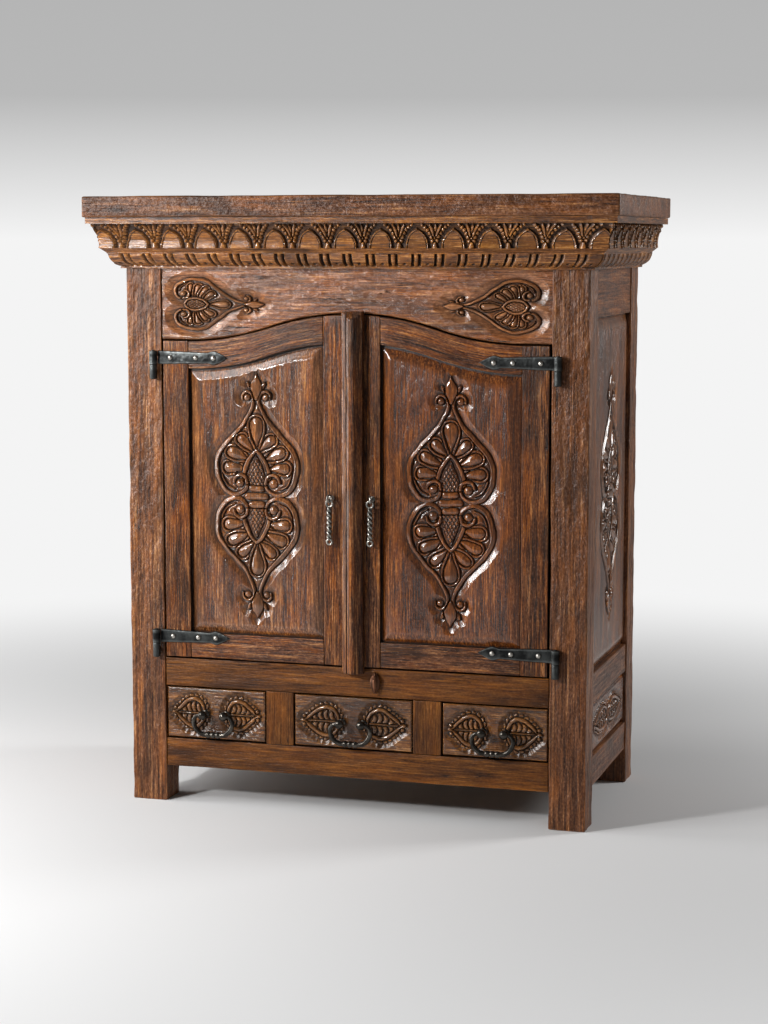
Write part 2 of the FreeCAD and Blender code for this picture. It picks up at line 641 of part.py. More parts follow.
def side_rail(name, z, grooves):
    """Right side rail with a groove along each listed edge."""
    length = ("Places.front_post_back", "Places.back_post_front")
    block = box(f"{name}_block", ("Places.side_inner", "Places.side_face"), length, z)
    slot = ("Places.side_groove_in", "Places.side_groove_out")
    spans = {"lower": (z[0], f"{z[0]} + Places.groove_depth"),
             "upper": (f"{z[1]} - Places.groove_depth", z[1])}
    tools = [box(f"{name}_{edge}_groove", slot, length, spans[edge]) for edge in grooves]
    return cut(name, block, tools)


def side_panel(name, foot, head, bevel):
    """Raised panel of the right side, held in grooves all round."""
    body = body_at(name, x="Places.side_groove_in + Sizes.panel_play")
    front = "Places.front_post_back"
    back = "Places.back_post_front"
    plate = sketch_on(body, "YZ_Plane", f"{name}_plate")
    rectangle(plate, (f"{front} - Sizes.tongue_depth", f"{back} + Sizes.tongue_depth"),
              (f"{foot} - Places.groove_depth", f"{head} + Sizes.tongue_depth"))
    pad(body, plate, "Sizes.tongue_thickness")
    low = sketch_on(body, "YZ_Plane", f"{name}_bevel_foot", "Sizes.tongue_thickness")
    rectangle(low, (f"{front} + Sizes.panel_play", f"{back} - Sizes.panel_play"),
              (f"{foot} + Sizes.panel_play", f"{head} - Sizes.panel_play"))
    high = sketch_on(body, "YZ_Plane", f"{name}_field", "Sizes.tongue_thickness + Places.field_rise")
    rectangle(high, (f"{front} + {bevel}", f"{back} - {bevel}"), (f"{foot} + {bevel}", f"{head} - {bevel}"))
    loft(body, low, high)
    return body


def make_sides():
    rails = [
        side_rail("side_top_rail", ("Places.side_top_rail_bottom", "Places.top_under"), ["lower"]),
        side_rail("side_waist_rail", ("Places.waist_bottom", "Places.waist_top"), ["lower", "upper"]),
        side_rail("side_base_rail", ("Sizes.base_rail_bottom", "Places.base_top"), ["upper"]),
    ]
    right = keep(group("side_rails_right", rails))
    keep(mirror("side_rails_left", right))
    tall = side_panel("side_panel_right", "Places.waist_top", "Places.side_top_rail_bottom", "Sizes.bevel_width")
    carve_palmette(tall, "YZ_Plane", "side_palmette", "(Places.front_post_back + Places.back_post_front) / 2",
                   "Places.palmette_middle", "Sizes.tongue_thickness + Places.field_rise")
    keep(tall)
    keep(mirror("side_panel_left", tall))
    low = keep(side_panel("side_lower_panel_right", "Places.base_top", "Places.waist_bottom",
                          "Sizes.lower_bevel_width"))
    keep(mirror("side_lower_panel_left", low))


# Back rails and boards, deck and drawer runners


def make_inside():
    between = ("-Places.post_in", "Places.post_in")
    depth = ("Places.back_rail_front", "Places.back_rail_back")
    keep(group("back_rails", [
        box("back_top_rail", between, depth,
            ("Places.top_under - Sizes.back_top_rail_height", "Places.top_under")),
        box("back_waist_rail", between, depth, ("Places.waist_bottom", "Places.waist_top")),
        box("back_base_rail", between, depth, ("Sizes.base_rail_bottom", "Places.base_top")),
    ]))
    board_x = ("-Places.post_in + Sizes.back_panel_play", "Places.post_in - Sizes.back_panel_play")
    board_y = ("Places.back_panel_front", "Places.back_rail_front")
    joint = "Places.waist_top - Sizes.deck_thickness"
    upper = box("upper_back_block", board_x, board_y, (joint, "Places.top_under"))
    hole = rod("cable_hole", "Sizes.cable_hole_radius", "Sizes.back_panel_thickness", "back",
               "0", "Places.back_panel_front", "Places.waist_top + Sizes.cable_hole_lift")
    lower = box("lower_back_board", board_x, board_y, ("Sizes.base_rail_bottom", joint))
    keep(group("back_panels", [cut("upper_back_board", upper, [hole]), lower]))

    deck_z = (joint, "Places.waist_top")
    keep(fuse("tv_deck", [
        box("deck_middle", between, ("Places.rail_back", "Places.back_panel_front"), deck_z),
        box("deck_wings", ("-Places.side_inner", "Places.side_inner"),
            ("Places.front_post_back", "Places.back_post_front"), deck_z),
    ]))

    runner_y = ("Places.rail_back", "Places.back_panel_front")
    runner_z = ("Places.base_top - Sizes.runner_height", "Places.base_top")
    starts = ("Places.middle_half - Sizes.runner_width", "Places.outer_opening",
              "Places.post_in - Sizes.runner_width")
    runners = []
    for index, start in enumerate(starts, start=1):
        right = box(f"runner_right_{index}", (start, f"{start} + Sizes.runner_width"), runner_y, runner_z)
        runners += [right, mirror(f"runner_left_{index}", right)]
    keep(group("drawer_runners", runners))


# Top board and the two mitred tiers of the cornice


def cornice_profile(tier, edge, sign):
    """Section of a tier: setbacks from the board's edge, run inwards by sign."""
    def inset(text):
        return f"{edge} {sign} {text}"
    if tier == "cove":
        fillet_foot = "Places.top_under - Sizes.cove_fillet_height"
        return [
            (inset("Sizes.cornice_overhang"), "Places.top_under"),
            (inset("Sizes.cornice_overhang"), "Places.cove_bottom"),
            (inset("Sizes.cove_bottom_setback"), "Places.cove_bottom", "hollow"),
            (inset(f"Sizes.cove_top_setback {sign} Sizes.cove_fillet_step"), fillet_foot),
            (inset("Sizes.cove_top_setback"), fillet_foot),
            (inset("Sizes.cove_top_setback"), "Places.top_under"),
        ]
    return [
        (inset("Sizes.cornice_overhang"), "Places.cove_bottom"),
        (inset("Sizes.cornice_overhang"), "Places.ogee_bottom"),
        (inset("Sizes.ogee_bottom_setback"), "Places.ogee_bottom"),
        (inset("Sizes.ogee_bottom_setback"), "Places.ogee_bottom + Sizes.ogee_lip_height", "swell"),
        (inset("Sizes.ogee_shelf_setback"), "Places.cove_bottom - Sizes.ogee_shelf_drop"),
        (inset("Sizes.ogee_top_setback"), "Places.cove_bottom"),
    ]


def bend_corners(corners, outside):
    """Turns the words hollow and swell into arcs; outside is the side that the weather sees."""
    inside = "right" if outside == "left" else "left"
    bends = {"hollow": (outside, "Sizes.cove_radius"), "swell": (inside, "Sizes.ogee_radius")}
    return [corner if len(corner) == 2 else (corner[0], corner[1], bends[corner[2]]) for corner in corners]


def make_cornice():
    half_width = "Sizes.top_width / 2"
    half_depth = "Sizes.top_depth / 2"
    reach = "Sizes.cornice_overhang"
    keep(box("top_board", (f"-{half_width}", half_width), (f"-{half_depth}", half_depth),
             ("Places.top_under", "Sizes.overall_height")))
    for tier in ("cove", "ogee"):
        front = body_at(f"cornice_{tier}_front", x=f"-{half_width}")
        section = sketch_on(front, "YZ_Plane", f"{tier}_front_section")
        outline(section, bend_corners(cornice_profile(tier, f"-{half_depth}", "+"), "left"))
        pad(front, section, "Sizes.top_width")
        mitres = sketch_on(front, "XY_Plane", f"{tier}_front_mitres")
        outline(mitres, [("0", f"-{half_depth}"), (reach, f"-{half_depth} + {reach}"),
                         ("0", f"-{half_depth} + {reach}")])
        outline(mitres, [("Sizes.top_width", f"-{half_depth}"),
                         ("Sizes.top_width", f"-{half_depth} + {reach}"),
                         (f"Sizes.top_width - {reach}", f"-{half_depth} + {reach}")])
        pocket(front, mitres, "Sizes.overall_height", reverse=True)
        keep(front)

        right = body_at(f"cornice_{tier}_right", y=f"-{half_depth}")
        section = sketch_on(right, "XZ_Plane", f"{tier}_right_section")
        outline(section, bend_corners(cornice_profile(tier, half_width, "-"), "right"))
        pad(right, section, "Sizes.top_depth", reverse=True)
        mitre = sketch_on(right, "XY_Plane", f"{tier}_right_mitre")
        outline(mitre, [(half_width, "0"), (f"{half_width} - {reach}", reach), (f"{half_width} - {reach}", "0")])
        pocket(right, mitre, "Sizes.overall_height", reverse=True)
        keep(right)
        keep(mirror(f"cornice_{tier}_left", right))


# Doors: frame, raised panel and astragal


def arch_top(spring, inner_drop):
    """Corners of the arch from the hinge side to a place near the crown, spring height given."""
    crown = f"{spring} + Sizes.arch_rise"
    return [
        ("Places.arch_run", spring, ("right", "Places.arch_radius")),
        ("Places.arch_half", f"{spring} + Sizes.arch_rise / 2", ("left", "Places.arch_radius")),
        ("Places.panel_inner", f"{crown} - {inner_drop}"),
    ]


def arch_bottom(spring, inner_drop):
    """The same arch drawn from the crown to the hinge side."""
    crown = f"{spring} + Sizes.arch_rise"
    return [
        ("Places.panel_inner", f"{crown} - {inner_drop}", ("right", "Places.arch_radius")),
        ("Places.arch_half", f"{spring} + Sizes.arch_rise / 2", ("left", "Places.arch_radius")),
        ("Places.arch_run", spring),
    ]


def make_top_rails():
    drop = "Places.panel_inner_drop"
    body = body_at("door_right_top_rail", y="Places.door_face")
    sketch = sketch_on(body, "XZ_Plane", "top_rail_outline")
    outline(sketch, arch_bottom("Places.panel_spring", drop) + arch_top("Places.door_spring", drop))
    pad(body, sketch, "Sizes.door_thickness", reverse=True)
    groove = sketch_on(body, "XZ_Plane", "top_rail_groove", "-Sizes.frame_lip")
    outline(groove, arch_bottom("Places.panel_spring", drop)
            + arch_top("Places.panel_spring + Places.groove_depth", drop))
    pocket(body, groove, "Places.groove_width")
    keep(body)
    keep(mirror("door_left_top_rail", body))


def make_straight_frame():
    depth = ("Places.door_face", "Places.door_back")
    slot = ("Places.groove_front", "Places.groove_front + Places.groove_width")
    foot_groove = "Places.panel_foot - Places.groove_depth"
    stile = box("hinge_stile_block", ("Places.arch_run", "Places.door_outer"), depth,
                ("Places.door_bottom", "Places.door_spring"))
    groove = box("hinge_stile_groove", ("Places.arch_run", "Places.arch_run + Places.groove_depth"), slot,
                 (foot_groove, "Places.panel_spring + Places.groove_depth"))
    right = keep(cut("door_right_hinge_stile", stile, [groove]))
    keep(mirror("door_left_hinge_stile", right))
    rail = box("bottom_rail_block", ("Places.panel_inner", "Places.arch_run"), depth,
               ("Places.door_bottom", "Places.panel_foot"))
    groove = box("bottom_rail_groove", ("Places.panel_inner", "Places.arch_run"), slot,
                 (foot_groove, "Places.panel_foot"))
    right = keep(cut("door_right_bottom_rail", rail, [groove]))
    keep(mirror("door_left_bottom_rail", right))


def make_meeting_stiles():
    """The two stiles at the meeting line; their heads follow the crown of the arch."""
    inner_head = "Places.door_crown - Places.panel_inner_drop"
    groove_z = ("Places.panel_foot - Places.groove_depth",
                "Places.panel_crown + Places.groove_depth")
    foot = "Places.door_bottom"
    crown_right = ("right", "Places.arch_radius")
    crown_left = ("left", "Places.arch_radius")

    left = body_at("door_left_meeting_stile", y="Places.door_face")
    sketch = sketch_on(left, "XZ_Plane", "left_meeting_outline")
    outline(sketch, [("-Places.panel_inner", foot), ("Places.left_edge", foot),
                     ("Places.left_edge", "Places.door_crown - Places.left_edge_drop", crown_left),
                     ("-Places.panel_inner", inner_head)])
    pad(left, sketch, "Sizes.door_thickness", reverse=True)
    groove = sketch_on(left, "XZ_Plane", "left_meeting_groove", "-Sizes.frame_lip")
    rectangle(groove, ("-Places.panel_inner", "-Places.panel_inner + Places.groove_depth"), groove_z)
    pocket(left, groove, "Places.groove_width")
    keep(left)

    right = body_at("door_right_meeting_stile", y="Places.door_face")
    sketch = sketch_on(right, "XZ_Plane", "right_meeting_outline")
    outline(sketch, [("Places.panel_inner", foot), ("Places.right_edge", foot),
                     ("Places.right_edge", "Places.door_crown - Places.right_edge_drop", crown_right),
                     ("Places.panel_inner", inner_head)])
    pad(right, sketch, "Sizes.door_thickness", reverse=True)
    groove = sketch_on(right, "XZ_Plane", "right_meeting_groove", "-Sizes.frame_lip")
    rectangle(groove, ("Places.panel_inner - Places.groove_depth", "Places.panel_inner"), groove_z)
    pocket(right, groove, "Places.groove_width")
    keep(right)


def panel_outline(sketch, inset):
    """Outline of a door panel, its opening drawn in by inset on every side."""
    inner = f"Places.panel_inner + ({inset})"
    outer = f"Places.arch_run - ({inset})"
    foot = f"Places.panel_foot + ({inset})"
    spring = f"Places.panel_spring - ({inset})"
    middle = f"{spring} + Sizes.arch_rise / 2"
    inner_head = (f"{spring} + Sizes.arch_rise - Places.arch_radius"
                  f" + sqrt(Places.arch_radius ^ 2 - ({inner}) ^ 2)")
    crown = ("left", "Places.arch_radius")
    hollow = ("right", "Places.arch_radius")
    if value(inset) < 0:
        foot = "Places.panel_foot - Places.groove_depth"
        outline(sketch, [(inner, foot), (outer, foot), (outer, spring), ("Places.arch_run", spring, hollow),
                         ("Places.arch_half", middle, crown), (inner, inner_head)])
        return
    outer_head = (f"{spring} + Places.arch_radius"
                  f" - sqrt(Places.arch_radius ^ 2 - ({inset}) ^ 2)")
    outline(sketch, [(inner, foot), (outer, foot), (outer, outer_head, hollow),
                     ("Places.arch_half", middle, crown), (inner, inner_head)])


def make_door_panels():
    body = body_at("door_right_panel", y="Places.door_face")
    plate = sketch_on(body, "XZ_Plane", "door_panel_plate", "-Places.tongue_front")
    panel_outline(plate, "-Sizes.tongue_depth")
    pad(body, plate, "Sizes.tongue_thickness", reverse=True)
    low = sketch_on(body, "XZ_Plane", "door_panel_bevel_foot", "-Places.tongue_front")
    panel_outline(low, "Sizes.panel_play")
    high = sketch_on(body, "XZ_Plane", "door_panel_field", "-Sizes.field_setback")
    panel_outline(high, "Sizes.bevel_width")
    loft(body, low, high)
    carve_palmette(body, "XZ_Plane", "door_palmette", "(Places.panel_inner + Places.arch_run) / 2",
                   "Places.palmette_middle", "-Sizes.field_setback")
    keep(body)
    keep(mirror("door_left_panel", body))


def make_astragal():
    foot = "Places.door_bottom - Sizes.astragal_drop"
    height = f"Places.door_crown + Sizes.astragal_rise - ({foot})"
    body = body_at("astragal", x="Places.right_edge", y="Places.door_face", z=foot)
    section = sketch_on(body, "XY_Plane", "astragal_section")
    wide = "Sizes.astragal_width"
    step = "Sizes.astragal_step"
    slope = "Sizes.astragal_step + Sizes.astragal_chamfer"
    outline(section, [
        ("0", "0"),
        ("0", "-Sizes.astragal_base"),
        (step, "-Sizes.astragal_base"),
        (slope, "-Sizes.astragal_proud"),
        (f"{wide} - ({slope})", "-Sizes.astragal_proud"),
        (f"{wide} - {step}", "-Sizes.astragal_base"),
        (wide, "-Sizes.astragal_base"),
        (wide, "0"),
    ])
    pad(body, section, height)
    hip = sketch_on(body, "YZ_Plane", "astragal_hip")
    outline(hip, [("-Sizes.astragal_base", height), ("-Sizes.astragal_proud", height),
                  ("-Sizes.astragal_proud", f"{height} - Sizes.astragal_hip")])
    pocket(body, hip, wide, reverse=True)
    keep(body)


# Iron: pintles, straps, nails and drop pulls


def pintle(level):
    """Right-hand pintle: thick lower part, pin through the barrel and shank in the post."""
    shoulder = f"Places.{level}_hinge - Sizes.strap_height / 2 - Sizes.pin_clearance"
    lower = rod(f"{level}_pintle_foot", "Sizes.pintle_radius", "Sizes.pintle_length", "up",
                "Places.pin_x", "Places.pin_y", f"{shoulder} - Sizes.pintle_length")
    pin = rod(f"{level}_pintle_pin", "Sizes.pin_radius",
              "Sizes.strap_height + Sizes.pin_clearance + Sizes.pin_tip", "up",
              "Places.pin_x", "Places.pin_y", shoulder)
    shank = rod(f"{level}_pintle_shank", "Sizes.shank_radius",
                "Places.front + Sizes.shank_depth - Places.pin_y", "back",
                "Places.pin_x", "Places.pin_y", shank_z(level))
    return fuse(f"{level}_pintle_right", [lower, pin, shank])


def strap(level):
    """Right-hand strap: plate with a spear head and a barrel round the pin."""
    body = body_at(f"{level}_strap_right", x="Places.pin_x", y="Places.door_face",
                   z=f"Places.{level}_hinge")
    plate = sketch_on(body, "XZ_Plane", f"{level}_strap_plate")
    outline(plate, [
        ("0", "-Sizes.strap_height / 2"),
        ("0", "Sizes.strap_height / 2"),
        ("-Sizes.strap_shoulder", "Sizes.strap_height / 2"),
        ("-Places.strap_neck", "Sizes.strap_neck_height / 2"),
        ("-Places.strap_head", "Sizes.strap_head_height / 2"),
        ("-Sizes.strap_length", "0"),
        ("-Places.strap_head", "-Sizes.strap_head_height / 2"),
        ("-Places.strap_neck", "-Sizes.strap_neck_height / 2"),
        ("-Sizes.strap_shoulder", "-Sizes.strap_height / 2"),
    ])
    pad(body, plate, "Sizes.strap_thickness")
    barrel = sketch_on(body, "XY_Plane", f"{level}_strap_barrel", "-Sizes.strap_height / 2")
    disc(barrel, "Sizes.barrel_radius", "0", "Places.pin_y - Places.door_face")
    pad(body, barrel, "Sizes.strap_height")
    bore = sketch_on(body, "XY_Plane", f"{level}_strap_bore", "-Sizes.strap_height / 2")
    disc(bore, "Sizes.pin_radius + Sizes.pin_clearance", "0", "Places.pin_y - Places.door_face")
    pocket(body, bore, "Sizes.strap_height", reverse=True)
    return body


def nail(name, level, along):
    """Blunt cone of a hand-made nail on a strap."""
    piece = doc.addObject("Part::Cone", name)
    piece.Placement = FreeCAD.Placement(vector(), ALONG["forward"])
    piece.setExpression("Radius1", "Sizes.nail_radius")
    piece.setExpression("Radius2", "Sizes.nail_tip_radius")
    piece.setExpression("Height", "Sizes.nail_height")
    put(piece, f"Places.pin_x - ({along})", "Places.door_face - Sizes.strap_thickness",
        f"Places.{level}_hinge")
    return piece


def make_hinges():
    levels = ("upper", "lower")
    pintles = []
    for level in levels:
        right = pintle(level)
        pintles += [right, mirror(f"{level}_pintle_left", right)]
    keep(group("hinge_pintles", pintles))
    right = keep(group("door_right_straps", [strap(level) for level in levels]))
    keep(mirror("door_left_straps", right))
    nails = []
    for level in levels:
        for index, along in enumerate(("Sizes.nail_first", "Sizes.nail_second", "Places.strap_head"), start=1):
            nails.append(nail(f"{level}_nail_{index}", level, along))
    right = keep(group("door_right_nails", nails))
    keep(mirror("door_left_nails", right))


def make_pulls():
    x = "Sizes.pull_offset"
    upright = FreeCAD.Rotation(vector(0, 1, 0), 90)
    turned = FreeCAD.Rotation(vector(0, 0, 1), -value("Sizes.eye_turn")).multiply(upright)
    facing = FreeCAD.Rotation(vector(1, 0, 0), 90)
    eye = ring("eye_ring", "Sizes.eye_radius", "Sizes.eye_wire", turned, x, "Places.eye_y", "Places.eye_height")
    stem = rod("eye_stem", "Sizes.eye_wire", "Sizes.eye_reach + Sizes.eye_wire", "forward",
               x, "Places.door_face", "Places.eye_height")
    plate = rod("eye_plate", "Sizes.eye_plate_radius", "Sizes.eye_plate_thickness", "forward",
                x, "Places.door_face", "Places.eye_height")
    right = keep(fuse("door_right_eye", [eye, stem, plate]))
    keep(mirror("door_left_eye", right))

    link = ring("pull_link", "Sizes.link_radius", "Sizes.link_wire", facing, x, "Places.eye_y",
                "Places.link_middle")
    shaft = rod("pull_shaft", "Sizes.shaft_radius", "Sizes.shaft_length", "up", x, "Places.eye_y",
                "Places.shaft_top - Sizes.shaft_length")
    end = ring("pull_end", "Sizes.end_ring_radius", "Sizes.end_ring_wire", facing, x, "Places.eye_y",
               "Places.end_ring_middle")
    right = keep(fuse("door_right_pull", [link, shaft, end]))
    keep(mirror("door_left_pull", right))


# Drawers with their bails


def drawer_box(name, left, right):
    """Sides, back and bottom of one drawer, as separate boards."""
    wall = "Sizes.drawer_side_thickness"
    side_z = ("Places.box_bottom", "Places.box_bottom + Sizes.drawer_side_height")
    side_y = ("Places.front_back", "Places.box_back")
    inside = (f"{left} + {wall}", f"{right} - {wall}")
    floor = "Places.box_bottom + Sizes.drawer_bottom_lift"
    return group(name, [
        box(f"{name}_left", (left, f"{left} + {wall}"), side_y, side_z),
        box(f"{name}_right", (f"{right} - {wall}", right), side_y, side_z),
        box(f"{name}_back", inside, (f"Places.box_back - {wall}", "Places.box_back"), side_z),
        box(f"{name}_floor", inside, ("Places.front_back", f"Places.box_back - {wall}"),
            (floor, f"{floor} + Sizes.drawer_bottom_thickness")),
    ])


def eye_post(name, x):
    """Foot, stem and bored ball that carry one end of a bail."""
    z = "Places.drawer_middle"
    foot = rod(f"{name}_foot", "Sizes.rosette_radius", "Sizes.rosette_thickness", "forward",
               x, "Places.face", z)
    stem = rod(f"{name}_stem", "Sizes.stem_radius", "Sizes.bail_standoff", "forward", x, "Places.face", z)
    head = ball(f"{name}_head", "Sizes.ball_radius", x, "Places.bail_y", z)
    bore = rod(f"{name}_bore", "Sizes.bail_wire + Sizes.bail_play", "2 * Sizes.ball_radius", "x",
               f"{x} - Sizes.ball_radius", "Places.bail_y", z)
    return cut(name, fuse(f"{name}_solid", [foot, stem, head]), [bore])


def bail(name, middle):
    """Bent iron handle with a row of beads on its grip."""
    body = body_at(f"{name}_iron", x=middle, y="Places.bail_y", z="Places.drawer_middle")
    shoulder = "Sizes.bail_half_width - Sizes.bail_top_bend"
    grip = "Sizes.bail_half_width - Sizes.bail_bottom_bend"
    top_bend = ("right", "Sizes.bail_top_bend")
    bottom_bend = ("right", "Sizes.bail_bottom_bend")
    path = sketch_on(body, "XZ_Plane", f"{name}_path")
    outline(path, [
        ("Places.bail_end", "0"),
        (shoulder, "0", top_bend),
        ("Sizes.bail_half_width", "-Sizes.bail_top_bend", bottom_bend),
        (grip, "-Places.bail_drop"),
        (f"-({grip})", "-Places.bail_drop", bottom_bend),
        ("-Sizes.bail_half_width", "-Sizes.bail_top_bend", top_bend),
        (f"-({shoulder})", "0"),
        ("-Places.bail_end", "0"),
    ], closed=False)
    section = sketch_on(body, "YZ_Plane", f"{name}_section", "Places.bail_end")
    disc(section, "Sizes.bail_wire")
    sweep = body.newObject("PartDesign::AdditivePipe", f"{name}_sweep")
    sweep.Profile = section
    sweep.Spine = path
    beads = []
    for index in (-1, 0, 1):
        beads.append(ball(f"{name}_bead_{index + 2}", "Sizes.bead_radius",
                          f"{middle} + {index} * Sizes.bead_spacing", "Places.bail_y",
                          "Places.drawer_middle - Places.bail_drop"))
    return fuse(name, [body] + beads)


def make_drawers():
    openings = {
        "left": ("-Places.post_in", "-Places.outer_opening"),
        "middle": ("-Places.middle_half", "Places.middle_half"),
        "right": ("Places.outer_opening", "Places.post_in"),
    }
    for place, (start, finish) in openings.items():
        name = f"drawer_{place}"
        left = f"{start} + Sizes.drawer_gap"
        right = f"{finish} - Sizes.drawer_gap"
        middle = f"({start} + {finish}) / 2"
        keep(box(f"{name}_front", (left, right), ("Places.face", "Places.front_back"),
                 ("Places.base_top + Sizes.drawer_gap", "Places.waist_bottom - Sizes.drawer_gap")))
        keep(drawer_box(f"{name}_box", left, right))
        keep(group(f"{name}_eye_posts", [
            eye_post(f"{name}_post_1", f"{middle} - Sizes.bail_spacing / 2"),
            eye_post(f"{name}_post_2", f"{middle} + Sizes.bail_spacing / 2"),
        ]))
        keep(bail(f"{name}_bail", middle))


# Turn-button, hanging down from its nail


def lens(sketch, length, width_bend):
    """Pointed almond outline about the middle of the turn-button."""
    half = f"({length}) / 2"
    outline(sketch, [("0", f"Places.button_middle - {half}", ("left", width_bend)),
                     ("0", f"Places.button_middle + {half}", ("left", width_bend))])


def make_turn_button():
    body = body_at("turn_button", x="Sizes.button_offset", y="Places.button_back", z="Places.button_height")
    edge = sketch_on(body, "XZ_Plane", "button_edge_outline")
    lens(edge, "Sizes.button_length", "Places.button_bend")
    pad(body, edge, "Sizes.button_edge")
    low = sketch_on(body, "XZ_Plane", "button_crown_foot", "Sizes.button_edge")
    lens(low, "Sizes.button_length", "Places.button_bend")
    high = sketch_on(body, "XZ_Plane", "button_crown_ridge", "Sizes.button_edge + Sizes.button_crown")
    lens(high, "Places.ridge_length", "Places.ridge_bend")
    loft(body, low, high)
    boss = sketch_on(body, "XZ_Plane", "button_boss")
    disc(boss, "Sizes.button_boss_radius")
    pad(body, boss, "Places.face - Places.button_back - Sizes.button_play", reverse=True)
    hole = sketch_on(body, "XZ_Plane", "button_hole", "Places.button_back - Places.button_front")
    disc(hole, "Sizes.button_nail_radius + Sizes.button_play")
    pocket(body, hole, "Places.face - Places.button_front")
    keep(body)

    head = rod("button_nail_head", "Sizes.button_head_radius", "Sizes.button_head_height", "forward",
               "Sizes.button_offset", "Places.button_front - Sizes.button_play", "Places.button_height")
    shank = rod("button_nail_shank", "Sizes.button_nail_radius",
                "Places.face + Sizes.button_nail_depth - Places.button_front + Sizes.button_play", "back",
                "Sizes.button_offset", "Places.button_front - Sizes.button_play", "Places.button_height")
    keep(fuse("button_nail", [head, shank]))


# Build, check and write every sub-part

make_posts()
make_front_rails()
make_frieze()
make_sides()
make_inside()
make_cornice()
make_top_rails()
make_straight_frame()
make_meeting_stiles()
make_door_panels()
make_astragal()
make_hinges()
make_pulls()
make_drawers()
make_turn_button()
doc.recompute()

for item in doc.Objects:
    if "Invalid" in item.State or "Error" in item.State:
        raise RuntimeError(f"{item.Label} failed: {item.State}")
    if item.TypeId == "PartDesign::Pocket" and item.Shape.Volume >= item.BaseFeature.Shape.Volume:
        raise RuntimeError(f"{item.Label} cuts nothing")
for piece in nodes:
    if piece.Shape.isNull() or not piece.Shape.isValid() or not piece.Shape.Solids:
        raise RuntimeError(f"{piece.Label} has no valid solid")

os.makedirs("parts", exist_ok=True)
for piece in nodes:
    piece.Shape.exportStep(f"parts/{piece.Label}.step")
print(f"{len(nodes)} sub-parts written")
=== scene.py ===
import math

import bpy
import numpy as np
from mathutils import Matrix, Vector


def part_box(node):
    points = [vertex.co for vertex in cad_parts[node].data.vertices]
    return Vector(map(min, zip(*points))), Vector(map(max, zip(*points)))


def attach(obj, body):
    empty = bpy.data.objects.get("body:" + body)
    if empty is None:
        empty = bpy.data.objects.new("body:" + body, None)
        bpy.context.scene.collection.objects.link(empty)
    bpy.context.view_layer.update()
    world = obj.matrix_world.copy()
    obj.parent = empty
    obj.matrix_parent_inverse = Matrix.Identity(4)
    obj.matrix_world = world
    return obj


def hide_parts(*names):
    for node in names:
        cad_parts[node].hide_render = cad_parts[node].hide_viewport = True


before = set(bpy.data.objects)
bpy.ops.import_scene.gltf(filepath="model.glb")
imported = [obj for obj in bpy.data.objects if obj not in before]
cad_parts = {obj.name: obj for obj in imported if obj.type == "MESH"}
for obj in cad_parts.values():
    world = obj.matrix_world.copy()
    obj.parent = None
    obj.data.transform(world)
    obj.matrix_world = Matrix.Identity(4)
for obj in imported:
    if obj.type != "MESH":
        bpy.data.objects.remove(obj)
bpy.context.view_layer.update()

# A carved teak cabinet for a television. Shapes are worked out in millimetres, in the frame of the
# solids: x to the right, y to the back, z up. Meshes are written in metres.

MM = 0.001
FAR = 1.0e6

# Faces that carving is laid out on: directions of across, up and out of the wood

FRONT = np.array([[1, 0, 0], [0, 0, 1], [0, -1, 0]], float)
RIGHT = np.array([[0, 1, 0], [0, 0, 1], [1, 0, 0]], float)
LEFT = np.array([[0, -1, 0], [0, 0, 1], [-1, 0, 0]], float)

X, Y, Z = 0, 1, 2


# Measuring and smooth unevenness


def span(node):
    """Lowest and highest corner of a solid's box, in millimetres."""
    low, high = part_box(node)
    return np.array(low) / MM, np.array(high) / MM


def ripple(points, size, seed, waves=9):
    """Smooth uneven swell between -1 and 1; size is about the distance between crests on each axis."""
    rng = np.random.default_rng(seed)
    scaled = points / np.asarray(size, float)
    total = np.zeros(len(points))
    for _ in range(waves):
        heading = rng.normal(size=points.shape[1])
        heading *= rng.uniform(0.6, 1.5) / np.linalg.norm(heading)
        total += np.sin(scaled @ heading * 2 * math.pi + rng.uniform(0, 2 * math.pi))
    return np.clip(total / (0.9 * math.sqrt(waves)), -1, 1)


def swell(across, up, size, seed):
    """Ripple over a sheet of places."""
    return ripple(np.stack([across.ravel(), up.ravel()], 1), size, seed).reshape(across.shape)


def around(count):
    """Angles of so many places round a circle."""
    return np.linspace(0, 2 * math.pi, count, endpoint=False)


def from_edge(across, up, start, end, foot, head):
    """Distance of each place from the nearest edge of its board."""
    return np.minimum(np.minimum(across - start, end - across), np.minimum(up - foot, head - up))


def run_along(path):
    """Distance along a path at each of its points."""
    return np.concatenate([[0], np.cumsum(np.linalg.norm(np.diff(path, axis=0), axis=1))])


def fair_line(knots, count):
    """Smooth line through a few points; a third value, such as a half width, goes along with them."""
    knots = np.array(knots, float)
    knots = np.vstack([2 * knots[0] - knots[1], knots, 2 * knots[-1] - knots[-2]])
    steps = np.linspace(0, len(knots) - 3, count)
    first = np.minimum(steps.astype(int), len(knots) - 4)
    share = (steps - first)[:, None]
    a, b, c, d = (knots[first + offset] for offset in range(4))
    bend = (2 * a - 5 * b + 4 * c - d) * share ** 2 + (3 * b - a - 3 * c + d) * share ** 3
    return b + 0.5 * ((c - a) * share + bend)


def soften(field, passes):
    """Averages each place of a grid with its neighbours."""
    for _ in range(passes):
        padded = np.pad(field, 1, mode="edge")
        rows = (padded[:-2] + 2 * padded[1:-1] + padded[2:]) / 4
        field = (rows[:, :-2] + 2 * rows[:, 1:-1] + rows[:, 2:]) / 4
    return field


# Meshes


